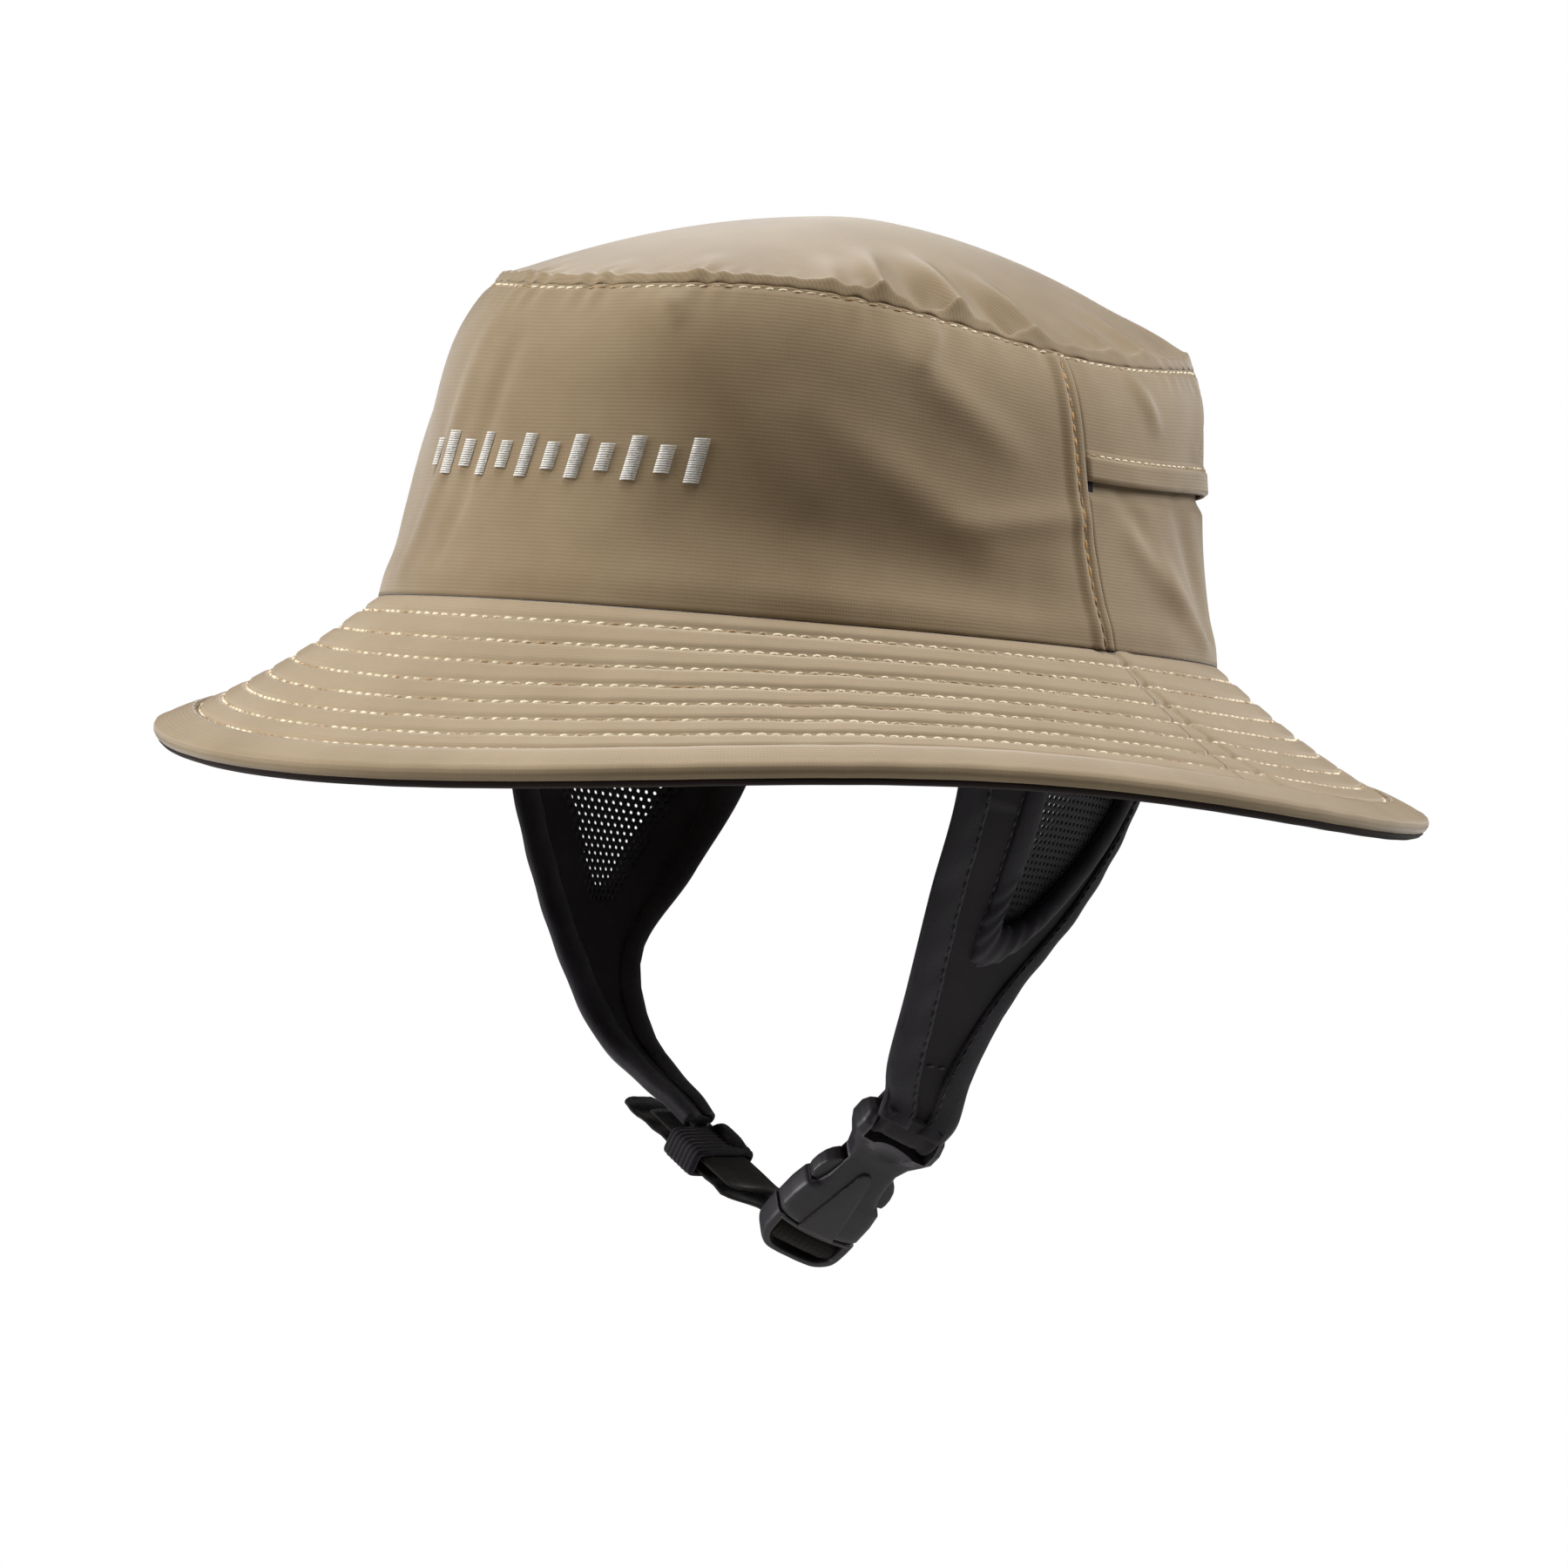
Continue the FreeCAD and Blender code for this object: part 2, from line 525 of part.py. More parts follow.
def make_flaps():
    """Both ear flaps with their mesh windows and bindings."""
    for name, side in (("left", 1), ("right", -1)):
        flap = Flap(side)
        half = FLAP_THICKNESS / 2
        hole = window_prism(side, 0.0)
        rim = window_prism(side, WINDOW_MARGIN)
        lapped = window_prism(side, MESH_LAP)
        save(name + "_ear_flap", flap.slab(0.0, 1.0, half, -half).cut(hole))
        mesh_low = half + FLAP_PLY_GAP
        mesh = flap.slab(0.0, 1.0, -mesh_low, -mesh_low - MESH_THICKNESS).common(lapped)
        save(name + "_flap_mesh", mesh)
        strips = [flap.edge_strip(rear) for rear in (False, True)]
        save(name + "_flap_bindings", Part.makeCompound(strips))
        rim_low = half + 2 * FLAP_PLY_GAP + FLAP_BINDING_THICKNESS
        frame = flap.slab(0.0, 1.0, rim_low + WINDOW_BINDING_THICKNESS, rim_low)
        save(name + "_window_binding", frame.common(rim.cut(hole)))


# ---------------------------------------------------------------- buckle
def place_in_buckle(shape):
    """Move a shape made in the buckle's own axes to its place."""
    along, across, out = buckle_axes()
    frame = FreeCAD.Matrix(along.x, across.x, out.x, BUCKLE_MOUTH.x,
                           along.y, across.y, out.y, BUCKLE_MOUTH.y,
                           along.z, across.z, out.z, BUCKLE_MOUTH.z,
                           0, 0, 0, 1)
    placed = shape.copy()
    placed.Placement = FreeCAD.Placement(frame).multiply(shape.Placement)
    return placed


def mirrored_outline(half):
    """Closed outline from its half with positive y, listed along x."""
    return half + [(x, -y) for x, y in reversed(half)]


def make_socket():
    """Female half: closed mouth, side windows, waist and strap slot."""
    wide, waist = SOCKET_HALF_WIDTH, SOCKET_WAIST_HALF_WIDTH
    half = [(MATING_GAP, wide), (SOCKET_WALL_END, wide - SOCKET_WALL_TAPER),
            (SOCKET_WALL_END, waist), (SOCKET_WINDOW_END + SOCKET_NOSE, waist), SOCKET_SHOULDER,
            (SOCKET_FLARE_START, wide), (SOCKET_LENGTH - SOCKET_NOSE, wide),
            (SOCKET_LENGTH, wide - SOCKET_NOSE)]
    thick = SOCKET_HALF_THICKNESS
    body = prism(mirrored_outline(half), -thick, thick)
    side_profile = ([(MATING_GAP, thick)] + SOCKET_TAPER
                    + [(SOCKET_LENGTH - SOCKET_NOSE, END_BAR_HALF_THICKNESS),
                       (SOCKET_LENGTH, SOCKET_END_HALF_THICKNESS)])
    outline = mirrored_outline(side_profile)
    wire = Part.makePolygon([Vector(x, -wide - 1, z) for x, z in outline + outline[:1]])
    body = body.common(Part.Face(wire).extrude(Vector(0, 2 * wide + 2, 0)))
    high, cavity = CAVITY_HALF_HEIGHT, CAVITY_HALF_WIDTH
    body = body.cut(box(-1, SOCKET_WINDOW_END, -cavity, cavity, -high, high))
    body = body.cut(box(SOCKET_WALL_END, SOCKET_WINDOW_END, -wide - 1, wide + 1, -high, high))
    body = body.cut(box(SLOT_START, SLOT_END, -SLOT_HALF_WIDTH, SLOT_HALF_WIDTH,
                        -thick, thick))
    save("buckle_socket", place_in_buckle(body))


def make_plug():
    """Male half: frame with an adjuster bar, and the guide blade that enters the socket."""
    wide, thick = SOCKET_HALF_WIDTH, SOCKET_HALF_THICKNESS
    end = -PLUG_LENGTH
    half = [(end + x, wide - y) for x, y in PLUG_CORNER] + [(-MATING_GAP, wide)]
    body = prism(mirrored_outline(half), -thick, thick)
    body = body.cut(box(end + PLUG_END_RAIL, -PLUG_CROSSBAR, -wide + PLUG_RAIL, wide - PLUG_RAIL,
                        -thick - 1, thick + 1))
    bar_half = wide - PLUG_RAIL + ROOT
    bar = Part.makeCylinder(PLUG_BAR_RADIUS, 2 * bar_half,
                            Vector(PLUG_BAR_X, -bar_half, 0), Vector(0, 1, 0))
    guide = box(-ROOT, GUIDE_LENGTH, -GUIDE_HALF_WIDTH, GUIDE_HALF_WIDTH,
                -PRONG_HALF_HEIGHT, PRONG_HALF_HEIGHT)
    save("buckle_plug", place_in_buckle(body.fuse([bar, guide]).removeSplitter()))


def make_prongs():
    """Sprung arms of the plug, whose heads show in the socket's side windows."""
    catch = SOCKET_WALL_END + PRONG_CLEARANCE
    half = [(PRONG_START, PRONG_ARM_INNER), (PRONG_START, PRONG_ARM_OUTER),
            (catch, PRONG_TIP_OUTER), (catch, PRONG_HEAD_OUTER),
            (catch + PRONG_HEAD_FLAT, PRONG_HEAD_OUTER), (PRONG_LENGTH, PRONG_TIP_OUTER),
            (PRONG_LENGTH, PRONG_ARM_INNER)]
    for name, sign in (("front", 1), ("rear", -1)):
        outline = [(x, sign * y) for x, y in half]
        arm = prism(outline, -PRONG_HALF_HEIGHT, PRONG_HALF_HEIGHT)
        save("release_prong_" + name, place_in_buckle(arm))


# ---------------------------------------------------------------- straps
def make_left_loop():
    """Webbing folded through the socket's slot and sewn over the left flap's end."""
    inner = max(END_BAR_HALF_THICKNESS, FLAP_THICKNESS / 2 + FLAP_PLY_GAP + FLAP_BINDING_THICKNESS)
    leg = inner + BAR_CLEARANCE + WEBBING_THICKNESS / 2
    start = (SLOT_START + SLOT_END) / 2
    straight = spread(LOOP_END, start + leg * 0.4, 6)
    profile = [(x, leg) for x in straight]
    turn_centre = straight[-1]
    reach = turn_centre - (SLOT_START + 0.3 + WEBBING_THICKNESS / 2)
    for angle in spread(math.radians(30), math.radians(150), 5):
        profile.append((turn_centre - reach * math.sin(angle), leg * math.cos(angle)))
    profile += [(x, -leg) for x in reversed(straight)]
    half = WEBBING_THICKNESS / 2
    sides = []
    for sign in (1, -1):
        row = []
        for i, (x, z) in enumerate(profile):
            before, after = profile[max(0, i - 1)], profile[min(len(profile) - 1, i + 1)]
            dx, dz = after[0] - before[0], after[1] - before[1]
            size = math.hypot(dx, dz)
            row.append((x - sign * half * dz / size, z + sign * half * dx / size))
        sides.append(row)
    width = WEBBING_WIDTH / 2
    grids = [[[from_buckle(x, y, z) for y in spread(-width, width, 4)] for x, z in row]
             for row in sides]
    save("left_strap_loop", sheet_solid(*grids))


def bridge(start, start_way, end, end_way, count):
    """Points strictly between two ends of a smooth curve that leaves and arrives along two ways."""
    pull = (end - start).Length
    points = []
    for share in spread(0.0, 1.0, count + 2)[1:-1]:
        square, cube = share ** 2, share ** 3
        points.append(start * (2 * cube - 3 * square + 1) + end * (3 * square - 2 * cube)
                      + start_way * (pull * (cube - 2 * square + share))
                      + end_way * (pull * (cube - square)))
    return points


def webbing_path():
    """Middle line of the webbing: down the strap, round the adjuster bar and back to its tail."""
    run_way, run_across, run_out = strap_axes()
    along, across, out = buckle_axes()
    wrap = PLUG_BAR_RADIUS + BAR_CLEARANCE + WEBBING_THICKNESS / 2
    inside = SOCKET_HALF_THICKNESS + BAR_CLEARANCE
    upper_end = from_keeper(STRAP_RUN_END, 0, WEBBING_PLY_OFFSET)
    lower_end = from_keeper(STRAP_RUN_END, 0, -WEBBING_PLY_OFFSET)
    entry = from_buckle(PLUG_BAR_X + wrap, 0, -inside)
    leaving = from_buckle(PLUG_BAR_X - wrap, 0, -inside)
    going = bridge(upper_end, run_way, entry, out, BRIDGE_STATIONS)
    coming = bridge(leaving, out * -1, lower_end, run_way * -1, BRIDGE_STATIONS)

    def turned(share, first, second):
        return (first * (1 - share) + second * share).normalize()

    stations = [(from_keeper(x, 0, WEBBING_PLY_OFFSET), run_across, run_out)
                for x in (STRAP_RUN_START, STRAP_RUN_END)]
    for i, point in enumerate(going):
        share = (i + 1) / (BRIDGE_STATIONS + 1)
        stations.append((point, turned(share, run_across, across * -1),
                         turned(share, run_out, along)))
    stations.append((entry, across * -1, along))
    for angle in spread(0.0, math.pi, 9):
        normal = along * math.cos(angle) + out * math.sin(angle)
        stations.append((from_buckle(PLUG_BAR_X, 0, 0) + normal * wrap, across * -1, normal))
    stations.append((leaving, across * -1, along * -1))
    for i, point in enumerate(coming):
        share = (i + 1) / (BRIDGE_STATIONS + 1)
        stations.append((point, turned(share, across * -1, run_across),
                         turned(share, along * -1, run_out * -1)))
    stations += [(from_keeper(x, 0, -WEBBING_PLY_OFFSET), run_across, run_out * -1)
                 for x in (STRAP_RUN_END, -TAIL_REACH)]
    return stations


def make_webbing():
    """Adjustable webbing of the right strap."""
    wide, thick = WEBBING_WIDTH / 2, WEBBING_THICKNESS / 2
    sections = []
    for middle, across, normal in webbing_path():
        corners = [middle + across * (wide * a) + normal * (thick * n)
                   for a, n in ((-1, -1), (1, -1), (1, 1), (-1, 1))]
        sections.append(Part.makePolygon(corners + corners[:1]))
    save("chin_webbing", Part.makeLoft(sections, True, True))


def make_keeper():
    """Elastic loop that holds the webbing's free end."""
    along, across, out = strap_axes()
    inner_y = WEBBING_WIDTH / 2 + KEEPER_CLEARANCE
    inner_z = WEBBING_PLY_OFFSET + WEBBING_THICKNESS / 2 + KEEPER_CLEARANCE
    ring = box(-KEEPER_LENGTH / 2, KEEPER_LENGTH / 2, -inner_y - KEEPER_WALL, inner_y + KEEPER_WALL,
               -inner_z - KEEPER_WALL, inner_z + KEEPER_WALL)
    ring = ring.makeFillet(KEEPER_CORNER, [e for e in ring.Edges
                                           if abs(e.Vertexes[0].X - e.Vertexes[1].X)
                                           > KEEPER_LENGTH / 2])
    ring = ring.cut(box(-KEEPER_LENGTH, KEEPER_LENGTH, -inner_y, inner_y, -inner_z, inner_z))
    frame = FreeCAD.Matrix(along.x, across.x, out.x, KEEPER_CENTRE.x,
                           along.y, across.y, out.y, KEEPER_CENTRE.y,
                           along.z, across.z, out.z, KEEPER_CENTRE.z,
                           0, 0, 0, 1)
    ring.Placement = FreeCAD.Placement(frame)
    save("keeper_loop", ring)


os.makedirs("parts", exist_ok=True)
make_crown()
make_motif()
make_brim()
make_flaps()
make_socket()
make_plug()
make_prongs()
make_left_loop()
make_webbing()
make_keeper()
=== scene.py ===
"""Looks of the surf bucket hat: cloth crown, quilted brim, ear flaps with mesh windows, chin strap.

Sizes are in millimetres inside the classes and turn into metres where a mesh is made.  The wearer
looks along -Y, +X is the wearer's left and +Z is up.  theta is 0 at the front and a quarter turn
at the wearer's left.
"""

import logging
import math
from dataclasses import dataclass, field
from enum import Enum
from typing import Callable, Sequence

import bmesh
import bpy
import numpy as np
from mathutils import Matrix, Vector


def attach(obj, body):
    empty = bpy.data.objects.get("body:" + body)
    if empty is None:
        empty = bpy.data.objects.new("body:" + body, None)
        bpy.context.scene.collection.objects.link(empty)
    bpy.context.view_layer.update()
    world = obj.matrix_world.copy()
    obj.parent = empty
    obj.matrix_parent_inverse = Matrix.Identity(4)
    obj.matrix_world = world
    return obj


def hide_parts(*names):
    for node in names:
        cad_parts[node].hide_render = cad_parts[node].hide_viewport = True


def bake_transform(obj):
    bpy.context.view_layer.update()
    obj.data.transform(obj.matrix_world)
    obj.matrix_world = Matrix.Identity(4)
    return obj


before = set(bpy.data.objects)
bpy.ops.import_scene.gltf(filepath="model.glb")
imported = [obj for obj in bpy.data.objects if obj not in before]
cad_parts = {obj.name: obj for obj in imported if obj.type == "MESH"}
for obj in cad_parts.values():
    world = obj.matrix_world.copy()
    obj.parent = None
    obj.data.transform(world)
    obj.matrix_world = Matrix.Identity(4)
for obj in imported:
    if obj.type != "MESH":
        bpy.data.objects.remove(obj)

LOG = logging.getLogger("hat")
MM = 0.001
Array = np.ndarray
Place = Callable[[Array, Array, float], Array]


# ---------------------------------------------------------------- colour and nodes
def srgb(code: str) -> tuple[float, float, float, float]:
    """Linear colour from an sRGB hex code.

    Args:
        code: six hex digits, with or without a leading hash.

    Returns:
        Linear red, green, blue and an alpha of 1.
    """
    text = code.lstrip("#")
    parts = [int(text[i:i + 2], 16) / 255 for i in (0, 2, 4)]
    linear = [c / 12.92 if c <= 0.04045 else ((c + 0.055) / 1.055) ** 2.4 for c in parts]
    return (linear[0], linear[1], linear[2], 1.0)


def add_node(tree: bpy.types.NodeTree, kind: str, settings: dict[str, object] | None = None,
             links: dict[object, bpy.types.NodeSocket] | None = None) -> bpy.types.Node:
    """Add one node with its settings and links.

    Args:
        tree: the material's node tree.
        kind: the node's type name.
        settings: attributes of the node, or values of its inputs where the key names an input.
        links: input name or number, to the socket that feeds it.

    Returns:
        The new node.
    """
    node = tree.nodes.new(kind)
    for key, value in (settings or {}).items():
        if isinstance(key, str) and hasattr(node, key):
            setattr(node, key, value)
        else:
            node.inputs[key].default_value = value
    for key, socket in (links or {}).items():
        tree.links.new(socket, node.inputs[key])
    return node


def blank_material(name: str) -> tuple[bpy.types.Material, bpy.types.NodeTree,
                                       bpy.types.Node]:
    """New node material.

    Args:
        name: the material's name.

    Returns:
        The material, its tree and its surface shader.
    """
    material = bpy.data.materials.new(name)
    material.use_nodes = True
    tree = material.node_tree
    return material, tree, tree.nodes["Principled BSDF"]


def band_scale(period_mm: float) -> float:
    """Scale of a Wave node whose bands repeat every period_mm, for coordinates in metres."""
    return math.pi / 10 / (period_mm * MM)


def cell_scale(size_mm: float) -> float:
    """Scale of a Noise node whose features are about size_mm wide, for coordinates in metres."""
    return 1 / (size_mm * MM)


# ---------------------------------------------------------------- finishes
@dataclass(frozen=True)
class WovenCloth:
    """Plain or ribbed woven cloth.

    The eye sees fine ribs along one way, a faint cross thread, dusty patches of lighter colour
    where the cloth was handled, and a soft sheen at grazing angles. The colour also carries
    painted shade in the weave's grooves and a painted highlight on its raised threads.
    """

    name: str
    colour: str
    faded: str
    rib_mm: float = 0.9            # real ribs are 0.5 mm; drawn coarser so that they show
    cross_mm: float = 0.7
    rib_depth_mm: float = 0.10
    roughness: float = 0.82
    sheen: float = 0.25
    along_u: bool = False

    def material(self) -> bpy.types.Material:
        """Node material of this cloth."""
        material, tree, shader = blank_material(self.name)
        shader.inputs["Roughness"].default_value = self.roughness
        shader.inputs["IOR"].default_value = 1.46
        shader.inputs["Specular IOR Level"].default_value = 0.25
        shader.inputs["Sheen Weight"].default_value = self.sheen
        shader.inputs["Sheen Roughness"].default_value = 0.4
        flat = add_node(tree, "ShaderNodeUVMap").outputs["UV"]
        solid = add_node(tree, "ShaderNodeTexCoord").outputs["Object"]
        first, second = ("X", "Y") if self.along_u else ("Y", "X")
        rib = add_node(tree, "ShaderNodeTexWave",
                       {"bands_direction": first, "Scale": band_scale(self.rib_mm),
                        "Distortion": 1.2, "Detail": 2.0, "Detail Scale": 0.6},
                       {"Vector": flat}).outputs["Fac"]
        cross = add_node(tree, "ShaderNodeTexWave",
                         {"bands_direction": second, "Scale": band_scale(self.cross_mm),
                          "Distortion": 1.0, "Detail": 1.0}, {"Vector": flat}).outputs["Fac"]
        slub = add_node(tree, "ShaderNodeTexNoise",
                        {"Scale": cell_scale(1.4), "Detail": 3.0, "Roughness": 0.6},
                        {"Vector": solid}).outputs["Fac"]
        patch = add_node(tree, "ShaderNodeTexNoise",
                         {"Scale": cell_scale(38.0), "Detail": 4.0, "Roughness": 0.55},
                         {"Vector": solid}).outputs["Fac"]
        woven = add_node(tree, "ShaderNodeMix", {"data_type": "FLOAT", 0: 0.3},
                         {2: rib, 3: cross}).outputs[0]
        relief = add_node(tree, "ShaderNodeMix", {"data_type": "FLOAT", 0: 0.35},
                          {2: woven, 3: slub}).outputs[0]
        blotch = add_node(tree, "ShaderNodeMapRange",
                          {"From Min": 0.35, "From Max": 0.68, "To Min": 0.0, "To Max": 1.0},
                          {"Value": patch}).outputs[0]
        ground = add_node(tree, "ShaderNodeMix",
                          {"data_type": "RGBA", 6: srgb(self.colour), 7: srgb(self.faded)},
                          {0: blotch}).outputs[2]
        # Painted shade and highlight: the colour is darkened where the weave's relief is low and
        # lightened where it is high
        painted_weave_shade = add_node(tree, "ShaderNodeMapRange",
                         {"From Min": 0.2, "From Max": 0.8, "To Min": 0.91, "To Max": 1.06},
                         {"Value": relief}).outputs[0]
        colour_with_painted_weave_shade = add_node(tree, "ShaderNodeMix",
                          {"data_type": "RGBA", "blend_type": "MULTIPLY", 0: 1.0},
                          {6: ground, 7: painted_weave_shade}).outputs[2]
        bump = add_node(tree, "ShaderNodeBump",
                        {"Strength": 0.55, "Distance": self.rib_depth_mm * MM},
                        {"Height": relief})
        tree.links.new(colour_with_painted_weave_shade, shader.inputs["Base Color"])
        tree.links.new(bump.outputs["Normal"], shader.inputs["Normal"])
        return material


@dataclass(frozen=True)
class Neoprene:
    """Foam rubber faced with a fine knit.

    The eye sees a near-black matt skin with a tiny pebble and slightly greyer worn patches.
    """

    name: str
    colour: str
    worn: str
    pebble_mm: float = 0.9
    depth_mm: float = 0.06
    roughness: float = 0.72

    def material(self) -> bpy.types.Material:
        """Node material of this rubber."""
        material, tree, shader = blank_material(self.name)
        shader.inputs["IOR"].default_value = 1.5
        shader.inputs["Specular IOR Level"].default_value = 0.35
        shader.inputs["Sheen Weight"].default_value = 0.18
        shader.inputs["Sheen Roughness"].default_value = 0.45
        solid = add_node(tree, "ShaderNodeTexCoord").outputs["Object"]
        pebble = add_node(tree, "ShaderNodeTexVoronoi",
                          {"Scale": cell_scale(self.pebble_mm), "Randomness": 0.8},
                          {"Vector": solid}).outputs["Distance"]
        patch = add_node(tree, "ShaderNodeTexNoise",
                         {"Scale": cell_scale(22.0), "Detail": 5.0, "Roughness": 0.6},
                         {"Vector": solid}).outputs["Fac"]
        spread = add_node(tree, "ShaderNodeMapRange",
                          {"From Min": 0.38, "From Max": 0.7, "To Min": 0.0, "To Max": 1.0},
                          {"Value": patch}).outputs[0]
        colour = add_node(tree, "ShaderNodeMix",
                          {"data_type": "RGBA", 6: srgb(self.colour), 7: srgb(self.worn)},
                          {0: spread}).outputs[2]
        rough = add_node(tree, "ShaderNodeMapRange",
                         {"From Min": 0.3, "From Max": 0.7, "To Min": self.roughness - 0.08,
                          "To Max": self.roughness + 0.08}, {"Value": patch}).outputs[0]
        bump = add_node(tree, "ShaderNodeBump",
                        {"Strength": 0.5, "Distance": self.depth_mm * MM}, {"Height": pebble})
        tree.links.new(colour, shader.inputs["Base Color"])
        tree.links.new(rough, shader.inputs["Roughness"])
        tree.links.new(bump.outputs["Normal"], shader.inputs["Normal"])
        return material


@dataclass(frozen=True)
class TwistedThread:
    """Polyester sewing thread.

    The eye sees a bright, slightly glossy twist whose brightness changes along the row.
    """

    name: str
    light: str
    dark: str
    twist_mm: float = 0.5
    share_dark: float = 0.5
    run_mm: float = 9.0

    def material(self) -> bpy.types.Material:
        """Node material of this thread."""
        material, tree, shader = blank_material(self.name)
        shader.inputs["Roughness"].default_value = 0.5
        shader.inputs["IOR"].default_value = 1.54
        shader.inputs["Sheen Weight"].default_value = 0.2
        solid = add_node(tree, "ShaderNodeTexCoord").outputs["Object"]
        run = add_node(tree, "ShaderNodeTexNoise",
                       {"Scale": cell_scale(self.run_mm), "Detail": 4.0, "Roughness": 0.75},
                       {"Vector": solid}).outputs["Fac"]
        twist = add_node(tree, "ShaderNodeTexWave",
                         {"bands_direction": "DIAGONAL", "Scale": band_scale(self.twist_mm)},
                         {"Vector": solid}).outputs["Fac"]
        middle = 0.38 + 0.24 * self.share_dark
        mixed = add_node(tree, "ShaderNodeMapRange",
                         {"From Min": middle - 0.05, "From Max": middle + 0.05},
                         {"Value": run}).outputs[0]
        colour = add_node(tree, "ShaderNodeMix",
                          {"data_type": "RGBA", 6: srgb(self.dark), 7: srgb(self.light)},
                          {0: mixed}).outputs[2]
        bump = add_node(tree, "ShaderNodeBump", {"Strength": 0.4, "Distance": 0.08 * MM},
                        {"Height": twist})
        tree.links.new(colour, shader.inputs["Base Color"])
        tree.links.new(bump.outputs["Normal"], shader.inputs["Normal"])
        return material


@dataclass(frozen=True)
class MouldedAcetal:
    """Injection moulded acetal with a spark-eroded satin skin.

    The eye sees a dark grey satin with soft highlights, a very fine grain and paler convex edges.
    """

    name: str
    colour: str
    convex_edge_colour: str
    grain_mm: float = 0.35
    roughness: float = 0.4

    def material(self) -> bpy.types.Material:
        """Node material of this plastic."""
        material, tree, shader = blank_material(self.name)
        shader.inputs["IOR"].default_value = 1.48
        solid = add_node(tree, "ShaderNodeTexCoord").outputs["Object"]
        grain = add_node(tree, "ShaderNodeTexNoise",
                         {"Scale": cell_scale(self.grain_mm), "Detail": 2.0},
                         {"Vector": solid}).outputs["Fac"]
        # Pointiness makes the colour paler on convex edges
        worn = add_node(tree, "ShaderNodeNewGeometry").outputs["Pointiness"]
        edge = add_node(tree, "ShaderNodeMapRange",
                        {"From Min": 0.5, "From Max": 0.62, "To Min": 0.0, "To Max": 1.0},
                        {"Value": worn}).outputs[0]
        colour = add_node(tree, "ShaderNodeMix",
                          {"data_type": "RGBA", 6: srgb(self.colour), 7: srgb(self.convex_edge_colour)},
                          {0: edge}).outputs[2]
        rough = add_node(tree, "ShaderNodeMapRange",
                         {"From Min": 0.3, "From Max": 0.7, "To Min": self.roughness - 0.06,
                          "To Max": self.roughness + 0.08}, {"Value": grain}).outputs[0]
        bump = add_node(tree, "ShaderNodeBump", {"Strength": 0.3, "Distance": 0.03 * MM},
                        {"Height": grain})
        tree.links.new(colour, shader.inputs["Base Color"])
        tree.links.new(rough, shader.inputs["Roughness"])
        tree.links.new(bump.outputs["Normal"], shader.inputs["Normal"])
        return material


class Finish(Enum):
    """Every finish of the hat."""

    CROWN = WovenCloth("ribbed_nylon_cotton_woven", "8E795B", "9E8A6C", 0.8, 0.7, 0.08, 0.84, 0.6)
    BRIM = WovenCloth("fine_nylon_twill_pressed", "A28E71", "AD997D", 0.6, 0.5, 0.05, 0.74, 0.5)
    PIPING = WovenCloth("bias_cut_nylon_folded", "9C886B", "A89477", 0.9, 0.8, 0.09, 0.78, 0.5)
    LINING = WovenCloth("black_lining_woven", "1A0E0A", "241510", 0.8, 0.7, 0.05, 0.85, 0.1)
    SWEATBAND = WovenCloth("brushed_jersey_knitted", "1B1819", "272324", 1.2, 0.9, 0.15, 0.92)
    TAPE = WovenCloth("seam_tape_woven", "1A1718", "242021", 1.5, 0.7, 0.15, 0.85, 0.1)
    WEBBING = WovenCloth("nylon_webbing_woven", "17120F", "25201D", 1.5, 0.9, 0.25, 0.66, 0.12)
    ELASTIC = WovenCloth("ribbed_elastic_knitted", "1F1B20", "312D33", 1.3, 0.7, 0.30, 0.8, 0.15)
    FLAP = Neoprene("neoprene_foam_faced", "1F1A1E", "332E33")
    # Near-black like the flap's sheet, set a little lighter as a painted highlight on the rolled
    # bindings and the window's rim
    FLAP_EDGE = Neoprene("folded_jersey_binding", "252127", "3F3B42", 0.7, 0.08, 0.60)
    MESH = Neoprene("knitted_mesh_polyester", "19171A", "3B393F", 0.5, 0.05, 0.55)
    FOAM = Neoprene("closed_cell_foam", "B8B2A4", "C4BEB0", 1.0, 0.1, 0.9)
    CREAM = TwistedThread("cream_polyester_thread", "FFF0CF", "A8885C", share_dark=0.42)
    GOLD = TwistedThread("gold_polyester_thread", "D9A04B", "7C5A30", share_dark=0.5)
    BLACK = TwistedThread("black_polyester_thread", "3C383B", "1A1719", share_dark=0.5)
    WHITE = TwistedThread("white_rayon_satin_stitch", "F4F2EC", "DAD7D0", 0.45, 0.3, 4.0)
    BUCKLE = MouldedAcetal("acetal_moulded_satin", "2E2B2F", "5E5A60")

    def material(self) -> bpy.types.Material:
        """The finish's material, made once."""
        found = bpy.data.materials.get(self.value.name)
        return found or self.value.material()


